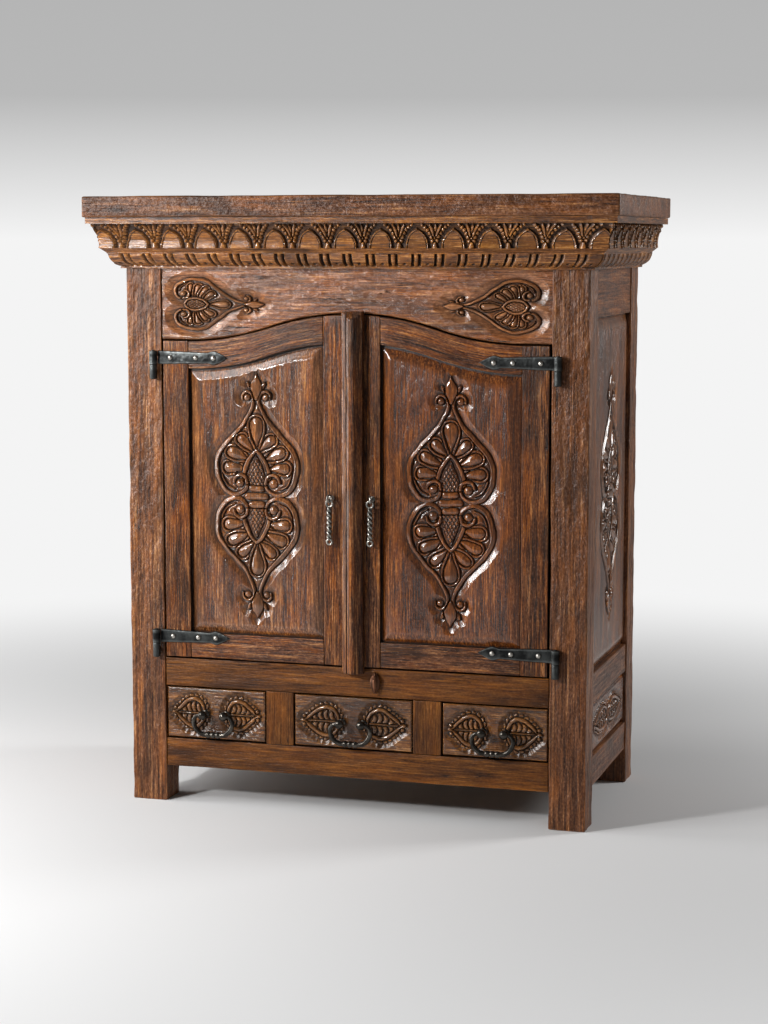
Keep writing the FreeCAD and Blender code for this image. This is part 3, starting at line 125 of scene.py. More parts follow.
def grid_quads(rows, columns, closed=False):
    """Faces of a sheet of points, joined round on itself where it is closed."""
    index = np.arange(rows * columns).reshape(rows, columns)
    if closed:
        index = np.concatenate([index, index[:, :1]], axis=1)
    corners = [index[:-1, :-1], index[:-1, 1:], index[1:, 1:], index[1:, :-1]]
    return np.stack(corners, -1).reshape(-1, 4)


def end_caps(rings, sides):
    """Faces that close the first and the last of a row of rings."""
    return [np.arange(sides)[::-1], (rings - 1) * sides + np.arange(sides)]


def rim_walls(rows, columns):
    """The rim of a sheet, the points behind it, and the faces of the sheet and of walls between them."""
    index = np.arange(rows * columns).reshape(rows, columns)
    rim = np.concatenate([index[0, :-1], index[:-1, -1], index[-1, :0:-1], index[:0:-1, 0]])
    behind = rows * columns + np.arange(len(rim))
    walls = np.stack([np.roll(rim, -1), rim, behind, np.roll(behind, -1)], -1)
    return rim, behind, np.concatenate([grid_quads(rows, columns), walls])


class Work:
    """Points and faces of one piece while it is made, with what its finish needs at each point.

    grain is the place in the log, in metres, first along the fibre and then across from the heart.
    The darkening value is painted shade in the cuts, the deeper a place lies, and in gaps and on backs, with
    some grime; polish is how much a place stands up to hands and cloths.
    """

    def __init__(self):
        self.points = []
        self.faces = []
        self.grain = []
        self.grime = []
        self.polish = []
        self.count = 0

    def add(self, points, quads, caps=(), grain=None, grime=0.0, polish=0.0):
        points = np.asarray(points, float)
        faces = [np.asarray(quads, int)] + [np.asarray(cap, int)[None, :] for cap in caps]
        volume = 0.0
        for group in faces:
            for corner in range(1, group.shape[1] - 1):
                a, b, c = points[group[:, 0]], points[group[:, corner]], points[group[:, corner + 1]]
                volume += np.einsum("ij,ij->", a, np.cross(b, c))
        if volume < 0:
            faces = [group[:, ::-1] for group in faces]
        self.faces += [group + self.count for group in faces]
        self.points.append(points)
        self.grain.append(points * MM if grain is None else grain)
        self.grime.append(np.broadcast_to(grime, len(points)))
        self.polish.append(np.broadcast_to(polish, len(points)))
        self.count += len(points)

    def piece(self, name, body, material, replaced=(), crease=38):
        """Writes the mesh, gives it its body and its finish, and hides the solids that it stands for."""
        corners = np.concatenate([group.ravel() for group in self.faces])
        sizes = np.concatenate([np.full(len(group), group.shape[1]) for group in self.faces])
        mesh = bpy.data.meshes.new(name)
        mesh.vertices.add(self.count)
        mesh.vertices.foreach_set("co", (np.concatenate(self.points) * MM).ravel())
        mesh.loops.add(len(corners))
        mesh.loops.foreach_set("vertex_index", corners)
        mesh.polygons.add(len(sizes))
        mesh.polygons.foreach_set("loop_start", np.concatenate([[0], np.cumsum(sizes)[:-1]]))
        mesh.polygons.foreach_set("use_smooth", np.ones(len(sizes), bool))
        mesh.update(calc_edges=True)
        mesh.set_sharp_from_angle(angle=math.radians(crease))
        grain = mesh.attributes.new("grain", "FLOAT_VECTOR", "POINT")
        grain.data.foreach_set("vector", np.concatenate(self.grain).ravel())
        for title, values in (("grime", self.grime), ("polish", self.polish)):
            layer = mesh.attributes.new(title, "FLOAT", "POINT")
            layer.data.foreach_set("value", np.concatenate(values))
        mesh.materials.append(material)
        item = bpy.data.objects.new(name, mesh)
        bpy.context.scene.collection.objects.link(item)
        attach(item, body)
        if replaced:
            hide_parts(*replaced)
        return item


def log_place(points, along, seed):
    """Where each point of a board lay in its log."""
    rng = np.random.default_rng(seed)
    across = [axis for axis in range(3) if axis != along]
    local = points - (points.min(0) + points.max(0)) / 2
    heart = rng.uniform(70, 240, 2) * rng.choice([-1, 1], 2)
    start = rng.uniform(0, 5000)
    return np.stack([local[:, along] + start, local[:, across[0]] + heart[0],
                     local[:, across[1]] + heart[1]], 1) * MM


def hewn_board(work, low, high, along, seed, soft=3.0, hew=0.9, cell=11.0, lift=None, dents=0.0, dim=0.0):
    """Hand-planed board: arrises worn round unevenly, faces a little hollow here and there.

    lift moves the points upward by a height that depends on where they are, for arched boards. dents
    is the depth of adze dents, and the last argument how much painted shade darkens the faces that
    turn away from the front, which lie in gaps.
    """
    low = np.array(low, float)
    high = np.array(high, float)
    soft = min(soft, 0.3 * (high - low).min())
    lines = []
    for axis in range(3):
        step = cell * (2.0 if axis == along else 1.0)
        count = max(2, math.ceil((high[axis] - low[axis] - 2 * soft) / step) + 1)
        middle = np.linspace(low[axis] + soft, high[axis] - soft, count)
        foot = [low[axis], low[axis] + 0.4 * soft]
        head = [high[axis] - 0.4 * soft, high[axis]]
        lines.append(np.concatenate([foot, middle, head]))
    points = []
    quads = []
    count = 0
    for axis in range(3):
        second, third = (axis + 1) % 3, (axis + 2) % 3
        for level, outward in ((low[axis], False), (high[axis], True)):
            a, b = np.meshgrid(lines[second], lines[third], indexing="ij")
            face = np.empty((a.size, 3))
            face[:, axis] = level
            face[:, second] = a.ravel()
            face[:, third] = b.ravel()
            sheet = grid_quads(*a.shape) + count
            quads.append(sheet[:, ::-1] if outward else sheet)
            points.append(face)
            count += len(face)
    points = np.concatenate(points)
    keys = np.round(points * 1000).astype(np.int64)
    _, kept, place = np.unique(keys, axis=0, return_index=True, return_inverse=True)
    points = points[kept]
    quads = place.reshape(-1)[np.concatenate(quads)]
    knocks = np.clip(ripple(points, 55, seed + 1) - 0.35, 0, 1)
    radius = soft * np.clip(0.8 + 0.3 * ripple(points, 120, seed + 2) + 0.5 * knocks, 0.3, 1.0)
    core = np.clip(points, low + radius[:, None], high - radius[:, None])
    outward = points - core
    outward /= np.linalg.norm(outward, axis=1)[:, None]
    size = np.full(3, 42.0)
    size[along] = 170.0
    flat = 1 - outward[:, along] ** 2
    cut = hew * flat * (0.5 + 0.5 * ripple(points, size, seed + 3))
    cut += dents * flat * np.clip(ripple(points, 0.55 * size, seed + 6), 0, 1)
    shaped = core + outward * (radius - cut)[:, None]
    edge = np.clip((1 - np.abs(outward).max(1)) / 0.25, 0, 1)
    rubbed = edge * (0.55 + 0.45 * ripple(points, 60, seed + 4))
    grain = log_place(points, along, seed)
    if lift is not None:
        shaped[:, Z] += lift(shaped[:, X], shaped[:, Z])
    # faces that turn away from the front lie in gaps and get painted shade
    work.add(shaped, quads, grain=grain, grime=dim * (np.abs(outward[:, Y]) < 0.5), polish=rubbed)


# Backs of carved boards, and the walls that run back to them, are painted a little darker as shade

REAR_SHADE = 0.3


def carved_slab(work, across, up, out, back, facing, along, seed, grime, polish):
    """Closes a carved sheet of points with walls and a flat back, and stands it on its face."""
    rim, behind, quads = rim_walls(*across.shape)
    front = np.stack([across, up, out], -1).reshape(-1, 3)
    rear = front[rim].copy()
    rear[:, 2] = back
    points = np.concatenate([front, rear]) @ facing
    work.add(points, quads, caps=[behind[::-1]], grain=log_place(points, along, seed),
             grime=np.concatenate([grime.ravel(), np.full(len(rear), REAR_SHADE)]),
             polish=np.concatenate([polish.ravel(), np.zeros(len(rear))]))


def turned(work, profile, centre, axis, sides=28, polish=0.0):
    """Round piece from heights and radii along an axis; hollow where the profile comes back to its start."""
    profile = np.array(profile, float)
    turn = around(sides)
    second, third = (axis + 1) % 3, (axis + 2) % 3
    rings = np.zeros((len(profile), sides, 3))
    rings[:, :, axis] = profile[:, :1]
    rings[:, :, second] = profile[:, 1:] * np.cos(turn)
    rings[:, :, third] = profile[:, 1:] * np.sin(turn)
    points = rings.reshape(-1, 3) + np.array(centre, float)
    caps = () if (profile[0] == profile[-1]).all() else end_caps(len(profile), sides)
    work.add(points, grid_quads(len(profile), sides, closed=True), caps=caps, polish=polish)


def wire(work, path, radius, sides=12, closed=False, polish=0.0):
    """Round bar along a path; radius is one value or one for each point."""
    path = np.array(path, float)
    radius = np.broadcast_to(np.asarray(radius, float), len(path))
    if closed:
        heading = np.roll(path, -1, 0) - np.roll(path, 1, 0)
    else:
        heading = np.gradient(path, axis=0)
    heading /= np.linalg.norm(heading, axis=1)[:, None]
    beside = np.empty_like(path)
    spare = np.eye(3)[np.argmin(np.abs(heading[0]))]
    for place, ahead in enumerate(heading):
        spare = spare - ahead * (spare @ ahead)
        spare = spare / np.linalg.norm(spare)
        beside[place] = spare
    above = np.cross(heading, beside)
    turn = around(sides)[None, :, None]
    rings = np.cos(turn) * beside[:, None] + np.sin(turn) * above[:, None]
    points = (path[:, None] + radius[:, None, None] * rings).reshape(-1, 3)
    quads = grid_quads(len(path), sides, closed=True)
    if closed:
        index = np.arange(len(points)).reshape(len(path), sides)
        last, first = index[-1], index[0]
        shift = np.argmin(np.linalg.norm(points[first] - points[last[0]], axis=1))
        first = np.roll(first, -shift)
        seam = np.stack([last, np.roll(last, -1), np.roll(first, -1), first], -1)
        work.add(points, np.concatenate([quads, seam]), polish=polish)
        return
    work.add(points, quads, caps=end_caps(len(path), sides), polish=polish)


# Relief carving; no stroke is felt further off than its reach

STROKE_REACH = 45.0


class Relief:
    """Carving over a sheet of places: height from the uncut face, and how dark the cuts are painted as shade.

    Forms are laid one after another, as a carver sets them in; each later one is parted from what
    lies beside it by a cut of the width nick.
    """

    def __init__(self, across, up, nick=2.0):
        self.across = across
        self.up = up
        self.nick = nick
        self.crest = np.full(across.shape, -FAR)
        self.gap = np.full(across.shape, FAR)
        self.dark = np.zeros(across.shape)

    def gap_to(self, path):
        """Distance outside a stroke of changing width, negative inside, and its half width there."""
        gap = np.full(self.across.shape, FAR)
        half = np.ones(self.across.shape)
        low, high = path[:, :2].min(0) - STROKE_REACH, path[:, :2].max(0) + STROKE_REACH
        near = np.nonzero((self.across > low[0]) & (self.across < high[0])
                          & (self.up > low[1]) & (self.up < high[1]))
        u, v = self.across[near], self.up[near]
        best, width = np.full(u.shape, FAR), np.ones(u.shape)
        for start, end in zip(path[:-1], path[1:]):
            step = end - start
            run = (u - start[0]) * step[0] + (v - start[1]) * step[1]
            share = np.clip(run / (step[0] ** 2 + step[1] ** 2 + 1e-9), 0, 1)
            here = np.maximum(start[2] + share * step[2], 0.2)
            apart = np.hypot(u - start[0] - share * step[0], v - start[1] - share * step[1]) - here
            width = np.where(apart < best, here, width)
            best = np.minimum(best, apart)
        gap[near] = best
        half[near] = width
        return gap, half

    def lay(self, gap, half, crest, drop, flat=2.0):
        """Lays a form whose middle is at crest and whose edge is lower by drop; flat over 2 squares it."""
        inward = np.clip(-gap / half, 0, 1)
        height = crest - drop * (1 - (1 - (1 - inward) ** flat) ** (1 / flat))
        inside = gap < 0
        # the nick round each form gets a line of painted shade
        line = np.clip(1 - np.abs(gap - 0.3 * self.nick) / self.nick, 0, 1)
        self.crest = np.where(inside, height, np.where(gap < self.nick, -FAR, self.crest))
        self.dark = np.where(inside, line, np.maximum(self.dark, line))
        self.gap = np.minimum(self.gap, gap)

    def stroke(self, knots, crest, drop, count=24, flat=2.0, fall=0.0):
        """Rounded stroke through points of across, up and half width; it falls where it is narrow."""
        gap, half = self.gap_to(fair_line(knots, count))
        self.lay(gap, half, crest - fall * (1 - half / max(knot[2] for knot in knots)), drop, flat)
        return gap

    def bead(self, place, radius, crest, drop):
        """Round bead."""
        gap = np.hypot(self.across - place[0], self.up - place[1]) - radius
        self.lay(gap, np.full(gap.shape, float(radius)), crest, drop)

    def height(self, depth, scoop):
        """Carving in a ground that is scooped down to depth beside it and comes up over scoop."""
        ground = -depth * np.clip(1 - self.gap / scoop, 0, 1)
        return np.maximum(self.crest, ground)


def carver_wander(across, up, seed, size=1.0):
    """Places pushed about a little, as a freehand chisel does."""
    return across + size * swell(across, up, 60, seed), up + size * swell(across, up, 60, seed + 1)


def wear_of(height, dark, raised=0.0):
    """Painted shade, with some grime, in the cuts and below the level round about, and polish on what is
    raised and in the scoops, from how a place lies.
    """
    level = soften(height, 14)
    grime = np.maximum(0.8 * np.clip((level - height) / 2.4, 0, 1), dark)
    crest = np.clip((height - level) / 2.0, 0, 1)
    scooped = 0.4 * np.clip(np.abs(height) / 1.5, 0, 1)
    return grime, np.maximum(np.maximum(crest, 0.85 * raised), scooped) * (1 - dark)


# The double palmette of the doors and sides: a heart-shaped band that curls in at its lobes and out
# at its neck, petals inside it, a bud at the tip, and its mirror image below a three-bar collar

HEART_BAND = [(27, 36, 4.6), (31, 20, 5.0), (46, 8, 5.6), (68, 5, 6.2), (92, 17, 6.6), (110, 47, 6.8),
              (116, 86, 6.8), (109, 115, 6.6), (92, 141, 6.4), (63, 172, 6.2), (37, 200, 5.8),
              (20, 227, 5.2), (10, 249, 4.8), (8, 265, 4.4), (14, 280, 4.2), (28, 286, 4.0),
              (39, 278, 3.8), (40, 266, 3.4)]
HEART_MIDDLE = np.array([30.0, 110.0])
BAND_LEAN = 0.6
INNER_LINE = [(64, 20, 2.0), (84, 29, 2.4), (97, 50, 2.4), (102, 70, 2.0)]
VOLUTE = [(27, 36, 4.6), (31, 52, 4.8), (46, 59, 5.0), (61, 52, 4.6), (66, 39, 3.8)]
VOLUTE_BALL = [(48, 36, 11.5), (49, 36.5, 11.5)]
CURL_BALL = [(27, 270, 9.0), (27.5, 270, 9.0)]
BUD = [(0, 268, 5.5), (0, 282, 11.0), (0, 296, 16.5), (0, 308, 14.5), (0, 320, 8.0), (0, 334, 1.5)]
BUD_CUSP = [(8, 292, 8.0), (18, 300, 7.0), (25, 309, 3.4)]
PETALS = (
    [(37, 74, 3.5), (52, 77, 9.5), (67, 78.5, 13.2), (81, 77.5, 14.0)],
    [(27, 102, 3.0), (42, 109, 9.0), (58, 116, 13.6), (71, 121.0, 14.4)],
    [(11, 127, 2.5), (22, 137, 8.0), (33, 147, 12.6), (42, 155, 13.6)],
    [(0, 134, 1.0), (0, 150, 6.5), (0, 166, 12.5), (0, 180, 17.0), (0, 192, 18.5), (0, 198, 17.5)],
)
CONE_BAND = [(38, 42, 5.2), (36, 62, 5.4), (28, 88, 5.2), (14, 113, 4.8), (0, 127, 4.2)]
CONE = [(0, 36, 26.0), (0, 58, 22.0), (0, 78, 15.5), (0, 96, 8.0), (0, 112, 1.0)]
COLLAR = ([(0, 21.5, 9.4), (15, 21.5, 8.8)], [(0, 0, 9.6), (25, 0, 9.2)])
FRIEZE_PETALS = (
    [(38, 70, 3.0), (52, 68, 7.0), (68, 65.5, 9.6), (82, 64, 10.0)],
    [(37, 82, 3.0), (52, 86, 7.4), (67, 90, 10.0), (81, 92, 10.4)],
    [(33, 97, 3.0), (46, 104, 7.4), (58, 112, 10.0), (68, 118, 10.4)],
    [(22, 112, 3.0), (31, 122, 7.4), (39, 132, 10.0), (47, 142, 10.4)],
    [(0, 132, 1.0), (0, 148, 6.0), (0, 164, 11.0), (0, 178, 14.5), (0, 190, 15.0)],
)
EYE_BAND = [(0, 40, 4.4), (20, 54, 5.0), (29, 82, 5.4), (19, 110, 5.0), (0, 128, 4.4)]
EYE = [(0, 50, 6.0), (0, 66, 19.0), (0, 82, 24.0), (0, 98, 19.0), (0, 116, 4.0)]
HATCH = 11.0
RIM_AWAY = 5.4
RIM_HALF = 3.2


def palmette(across, up, nick=2.0, petals=PETALS, cone=CONE, cone_band=CONE_BAND, collar=COLLAR):
    """Relief of the palmette; across is folded about its middle line and up about the collar."""
    relief = Relief(across, up, nick)
    relief.stroke(INNER_LINE, -0.8, 4.0)
    for knots in petals:
        gap, half = relief.gap_to(fair_line(knots, 24))
        rim = np.abs(gap - RIM_AWAY) - RIM_HALF
        relief.lay(rim, np.full(rim.shape, RIM_HALF), -0.4 - 2.4 * (half < 5), 4.6)
        relief.stroke(knots, 1.8, 6.8, flat=1.35, fall=4.0)
    gap = relief.stroke(cone, 0.6, 5.0)
    lines = [np.abs(np.sin((across + lean * up) * math.pi / HATCH)) for lean in (0.62, -0.62)]
    cut = np.clip(1.2 - np.minimum(*lines) / 0.5, 0, 1)
    relief.crest = np.where(gap < -1.5, relief.crest - 3.2 * cut, relief.crest)
    # the hatch cuts are painted dark as shade too
    relief.dark = np.where(gap < -1.5, np.maximum(relief.dark, cut), relief.dark)
    relief.stroke(cone_band, 0.8, 5.6, flat=2.4)
    gap = relief.stroke(HEART_BAND, 1.4, 4.6, count=90, flat=1.6)
    inner = np.array(HEART_BAND, float)
    inward = HEART_MIDDLE - inner[:, :2]
    inward /= np.linalg.norm(inward, axis=1)[:, None]
    inner[:, :2] += 3.0 * inward * (inner[:, 1:2] < 210)
    lean = relief.gap_to(fair_line(inner, 90))[0] - gap
    relief.crest = np.where(gap < 0, relief.crest - BAND_LEAN * lean, relief.crest)
    relief.stroke(VOLUTE, 1.4, 6.4)
    relief.stroke(VOLUTE_BALL, 2.0, 7.0, count=2, flat=1.5)
    relief.stroke(CURL_BALL, 1.6, 7.0, count=2)
    relief.stroke(BUD_CUSP, 0.6, 5.6)
    relief.stroke(BUD, 1.0, 5.8, fall=2.0)
    for bar in collar:
        relief.stroke(bar, 2.0, 7.0, count=2)
    return relief


# The leaf pair of the drawers and lower sides: almond leaves with a scalloped edge, tips outward


def leaf_pair(across, up, inner, length, half):
    """Relief of one leaf; across is folded about the middle of the pair and up about its midrib."""
    relief = Relief(across - inner, up, 2.3)
    band = fair_line([(length, 0, 3.4), (0.87 * length, 0.12 * half, 4.4), (0.72 * length, 0.38 * half, 5.2),
                      (0.52 * length, 0.70 * half, 5.8), (0.31 * length, 0.82 * half, 5.8),
                      (0.13 * length, 0.66 * half, 5.2), (0.02 * length, 0.32 * half, 4.6),
                      (0, 0, 3.8)], 60)
    heading = np.gradient(band[:, :2], axis=0)
    heading /= np.linalg.norm(heading, axis=1)[:, None]
    outward = np.stack([heading[:, 1], -heading[:, 0]], 1)
    outward *= np.where(outward[:, 1] > 0, 1, -1)[:, None]
    outward[-1] = (-1, 0)
    run = run_along(band[:, :2])
    for distance in np.arange(0.14 * length, run[-1], 11.5):
        place = np.argmin(np.abs(run - distance))
        lean = heading[place] * 3.5
        root = band[place, :2] + outward[place] * 8.0 + lean
        tip = band[place, :2] + outward[place] * 11.0 - lean
        relief.lay(*relief.gap_to(np.array([[*root, 3.6], [*tip, 4.6]])), -1.8, 4.6)
    for share in (0.69, 0.54, 0.39, 0.24, 0.09):
        reach = 0.66 * half * (1 - (share - 0.22) ** 2 * 3.0)
        relief.stroke([(share * length, 3, 2.6), ((share + 0.08) * length, 0.26 * reach, 5.6),
                       ((share + 0.11) * length, 0.62 * reach, 6.0),
                       ((share + 0.06) * length, reach, 3.0)], 0.2, 6.0, count=10)
    relief.stroke([(0.05 * length, 0, 2.8), (0.86 * length, 0, 1.8)], -0.4, 3.4, count=2)
    relief.lay(*relief.gap_to(band), 1.4, 7.4)
    relief.bead((0.93 * length, 0.24 * half), 5.6, 0.6, 5.0)
    return relief


# Cornice carving: arches with notched ropes in the hollow, paired grooves in the swell below

ARCH_PITCH = 100.0
REED_PITCH = 62.0


def cove_carving(along, up):
    """Relief of the hollow: a plain pointed arch, and between two of them a palm of notched leaves."""
    local = np.abs(along / ARCH_PITCH - np.round(along / ARCH_PITCH)) * ARCH_PITCH
    relief = Relief(local, up, 1.8)
    relief.stroke([(50, 26, 3.0), (50, 44, 5.6), (50, 62, 2.4)], -0.4, 5.0)
    rope = fair_line([(44, 10, 5.0), (42, 24, 5.8), (36, 38, 6.2), (27, 50, 6.0), (14, 61, 4.6)], 40)
    run = run_along(rope[:, :2])
    for distance in np.arange(run[-1], 0, -10.5):
        place = np.argmin(np.abs(run - distance))
        relief.bead(rope[place, :2], rope[place, 2], 0.0, 6.0)
    relief.stroke([(46, 32, 2.6), (41, 48, 4.6), (34, 62, 3.0)], -0.4, 5.0)
    relief.stroke([(50, -3, 9.0), (50, 6, 7.0), (50, 12, 5.0)], 0.4, 6.0)
    relief.stroke([(30, -3, 2.2), (28.5, 13, 2.2), (23, 28, 2.2), (13, 40, 2.2), (0, 48, 2.2)], -0.2, 3.6)
    height = relief.height(8.0, FAR)
    panel, _ = relief.gap_to(fair_line([(0, -3, 27), (0, 11, 25), (0, 25, 18), (0, 37, 7), (0, 42, 2)], 16))
    # the deep ground round the plain arch is painted dark, as shade in the hollow
    ground = np.clip(panel / 2.0, 0, 1) * (relief.crest < -FAR / 2)
    return np.where(panel < 0, np.maximum(height, -1.8), height), np.maximum(relief.dark, 0.65 * ground)


def ogee_carving(along, up):
    """Relief of the swell: a reed between two grooves, a punched dot in each flat."""
    local = np.abs(along / REED_PITCH - np.round(along / REED_PITCH)) * REED_PITCH
    groove = np.clip(1 - np.abs(local - 9.4) / 4.4, 0, 1)
    crown = np.clip((local / 5.0) ** 2, 0, 1)
    dot = np.clip(1 - np.hypot(local - REED_PITCH / 2, up - 15) / 5.2, 0, 1)
    depth = -7.6 * groove ** 0.5 - 1.4 * crown * (local < 9.4) - 3.8 * dot ** 0.5
    # the grooves and punched dots are painted dark, as shade
    return depth, np.clip(np.maximum(groove, dot) * 2.2, 0, 1)


# Finishes


def linear(colour):
    """sRGB hex value as linear red, green, blue and alpha."""
    parts = [int(colour[place:place + 2], 16) / 255 for place in (1, 3, 5)]
    return (*[part / 12.92 if part <= 0.04045 else ((part + 0.055) / 1.055) ** 2.4 for part in parts], 1.0)


def add_node(tree, kind, sockets=(), stops=(), **settings):
    """Adds one node with its settings, its socket values or links, and the stops of a colour ramp."""
    node = tree.nodes.new(kind)
    for name, value in settings.items():
        setattr(node, name, value)
    for socket, value in dict(sockets).items():
        if isinstance(value, bpy.types.NodeSocket):
            tree.links.new(value, node.inputs[socket])
        else:
            node.inputs[socket].default_value = value
    for place, (position, colour) in enumerate(stops):
        ramp = node.color_ramp.elements
        stop = ramp[place] if place < 2 else ramp.new(position)
        stop.position = position
        stop.color = linear(colour)
    return node


def new_finish(name):
    """Empty material with its output, tree and shader."""
    material = bpy.data.materials.new(name)
    material.use_nodes = True
    tree = material.node_tree
    tree.nodes.clear()
    shader = add_node(tree, "ShaderNodeBsdfPrincipled")
    add_node(tree, "ShaderNodeOutputMaterial", {"Surface": shader.outputs["BSDF"]})
    return material, tree, shader


# Teak, sawn and planed by hand, stained and waxed. Streaks about 6 mm wide run along the fibre in
# broader bands, with short fibre lines and flecks between them that make the face look brushed.
# Patches glow amber where the old surface shows through, others are nearly black with old stain, and
# here and there a check has opened. Hewn faces have dents the size of a thumb and pale dust in the
# pores. Wax gives a clear shine, the cuts and gaps are painted darker as shade with some grime, and
# hands leave raised edges paler. Each figure is given by its width and its length along the fibre;
# real fibre lines are under a millimetre wide, and are drawn as coarse as they need to be to show.
# SHOWING says how strong a figure is where it begins to show, and where it shows fully.

FIGURE = {"streak": (6.0, 190.0), "line": (3.0, 60.0), "band": (34.0, 420.0), "patch": (30.0, 140.0),
          "stain": (70.0, 210.0), "fleck": (4.0, 9.0), "check": (16.0, 420.0), "dent": (16.0, 24.0),
          "sway": (60.0, 330.0)}
SHOWING = {"patch": (0.47, 0.64), "stain": (0.48, 0.68), "fleck": (0.56, 0.72), "sway": (0.55, 0.62)}
NOISE = {"Scale": 1.0, "Detail": 3.0, "Roughness": 0.62}
FLECK_SHARE = 0.6
BAND_SHARE = 0.5
MIDDLE = 1.07
STAIN_MOST = 0.62
CHECK_WIDTH = {"From Min": 0.010, "From Max": 0.002}
CHECK_DEPTH = -1.2
WOOD_BUMP = 0.7
DUST = "#b8a08a"
WOOD_STOPS = (0.0, 0.3, 0.62, 1.0)
INSIDE_STOPS = (0.0, 0.3, 0.6, 1.0)
AMBER_STOPS = (0.0, 0.35, 0.7, 1.0)

# What rubbing, and the painted shade with grime in cuts and gaps, do to the wood

RUBBED_PALER, RUBBED_GLOSS, RUBBED_SMOOTH = 0.16, -0.55, -1.1
GRIME_AND_SHADE_DARK, GRIME_DULL = 0.96, 0.35


def teak(name, wood_tones, amber_tones, grime, shine, hewn=0.3, amber=0.7, dust=0.1, gloss=0.25, calm=0.36,
         fibre=1.4, along=None, stops=WOOD_STOPS):
    """Waxed teak in four tones of brown and four of amber, each from dark to pale.

    along is the fibre's axis for a solid that carries no grain of its own.
    """
    material, tree, shader = new_finish(name)
    if along is None:
        place = add_node(tree, "ShaderNodeAttribute", attribute_name="grain").outputs["Vector"]
    else:
        found = add_node(tree, "ShaderNodeTexCoord").outputs["Object"]
        apart = add_node(tree, "ShaderNodeSeparateXYZ", {0: found}).outputs
        order = [along] + [axis for axis in range(3) if axis != along]
        place = add_node(tree, "ShaderNodeCombineXYZ", enumerate(apart[axis] for axis in order)).outputs[0]
    seen = {}
    for figure, (width, length) in FIGURE.items():
        finer = (1 / (length * MM), 1 / (width * MM), 1 / (width * MM))
        scaled = add_node(tree, "ShaderNodeVectorMath", {0: place, 1: finer}, operation="MULTIPLY")
        noise = add_node(tree, "ShaderNodeTexNoise", {"Vector": scaled.outputs[0], **NOISE})
        seen[figure] = noise.outputs["Fac"]
    shown = {}
    for figure, most in (("patch", amber), ("stain", STAIN_MOST), ("fleck", dust), ("sway", 1.0)):
        begins, full = SHOWING[figure]
        shown[figure] = add_node(tree, "ShaderNodeMapRange", {
            "Value": seen[figure], "From Min": begins, "From Max": full, "To Max": most}).outputs[0]
    lines = seen["streak"]
    for figure, share in (("line", fibre), ("fleck", FLECK_SHARE)):
        lines = add_node(tree, "ShaderNodeMath", {0: seen[figure], 1: share, 2: lines},
                         operation="MULTIPLY_ADD").outputs[0]
    figured = add_node(tree, "ShaderNodeMath", {0: seen["band"], 1: BAND_SHARE, 2: lines},
                       operation="MULTIPLY_ADD").outputs[0]
    centre = MIDDLE + 0.5 * fibre
    shade = add_node(tree, "ShaderNodeMapRange", {
        "Value": figured, "From Min": centre - calm, "From Max": centre + calm}).outputs[0]
    brown, glow = [add_node(tree, "ShaderNodeValToRGB", {"Fac": shade}, zip(*ramp)).outputs["Color"]
                   for ramp in ((stops, wood_tones), (AMBER_STOPS, amber_tones))]
    wood = add_node(tree, "ShaderNodeMix", {"Factor": shown["patch"], 6: brown, 7: glow},
                    data_type="RGBA").outputs[2]
    off = add_node(tree, "ShaderNodeMath", {0: seen["check"], 1: 0.5}, operation="SUBTRACT").outputs[0]
    off = add_node(tree, "ShaderNodeMath", {0: off}, operation="ABSOLUTE").outputs[0]
    split = add_node(tree, "ShaderNodeMapRange", {"Value": off, **CHECK_WIDTH}).outputs[0]
    split = add_node(tree, "ShaderNodeMath", {0: split, 1: shown["sway"]}, operation="MULTIPLY").outputs[0]
    layers = [(shown["stain"], wood_tones[0]), (shown["fleck"], DUST), (split, grime)]
    level = lines
    for relief, height in ((seen["dent"], hewn * 4), (split, CHECK_DEPTH)):
        level = add_node(tree, "ShaderNodeMath", {0: relief, 1: height, 2: level},
                         operation="MULTIPLY_ADD").outputs[0]
    bump = add_node(tree, "ShaderNodeBump", {"Height": level, "Strength": WOOD_BUMP, "Distance": 0.0016})
    rough = add_node(tree, "ShaderNodeMapRange", {
        "Value": lines, "From Min": 0.95, "From Max": 1.65,
        "To Min": shine + 0.10, "To Max": shine - 0.06}).outputs[0]
    if along is None:
        # this attribute darkens the cuts, the gaps and the backs: painted shade, with some grime, which also
        # dulls them
        cut = add_node(tree, "ShaderNodeAttribute", attribute_name="grime").outputs["Fac"]
        rubbed = add_node(tree, "ShaderNodeAttribute", attribute_name="polish").outputs["Fac"]
        for worn, most, colour in ((rubbed, RUBBED_PALER, wood_tones[-1]), (cut, GRIME_AND_SHADE_DARK, grime)):
            share = add_node(tree, "ShaderNodeMath", {0: worn, 1: most}, operation="MULTIPLY").outputs[0]
            layers.append((share, colour))
        for worn, change in ((cut, GRIME_DULL), (rubbed, RUBBED_GLOSS * shine)):
            rough = add_node(tree, "ShaderNodeMath", {0: worn, 1: change, 2: rough},
                             operation="MULTIPLY_ADD").outputs[0]
        smoothed = add_node(tree, "ShaderNodeMath", {0: rubbed, 1: RUBBED_SMOOTH, 2: WOOD_BUMP},
                            operation="MULTIPLY_ADD", use_clamp=True)
        tree.links.new(smoothed.outputs[0], bump.inputs["Strength"])
    for share, colour in layers:
        wood = add_node(tree, "ShaderNodeMix", {"Factor": share, 6: wood, 7: linear(colour)},
                        data_type="RGBA").outputs[2]
    shader.inputs["IOR"].default_value = 1.5
    shader.inputs["Specular IOR Level"].default_value = gloss
    for socket, source in (("Base Color", wood), ("Roughness", rough), ("Normal", bump.outputs[0])):
        tree.links.new(source, shader.inputs[socket])
    return material


# Wrought iron from the forge: drawn out under the hammer, which leaves facets about 8 mm across,
# then oiled black or rubbed bright; edges and crests are rubbed down to bare grey metal.

HAMMER_MARK = 8.0
FILE_MARK = 2.5
STAIN_MARK = 4 * HAMMER_MARK


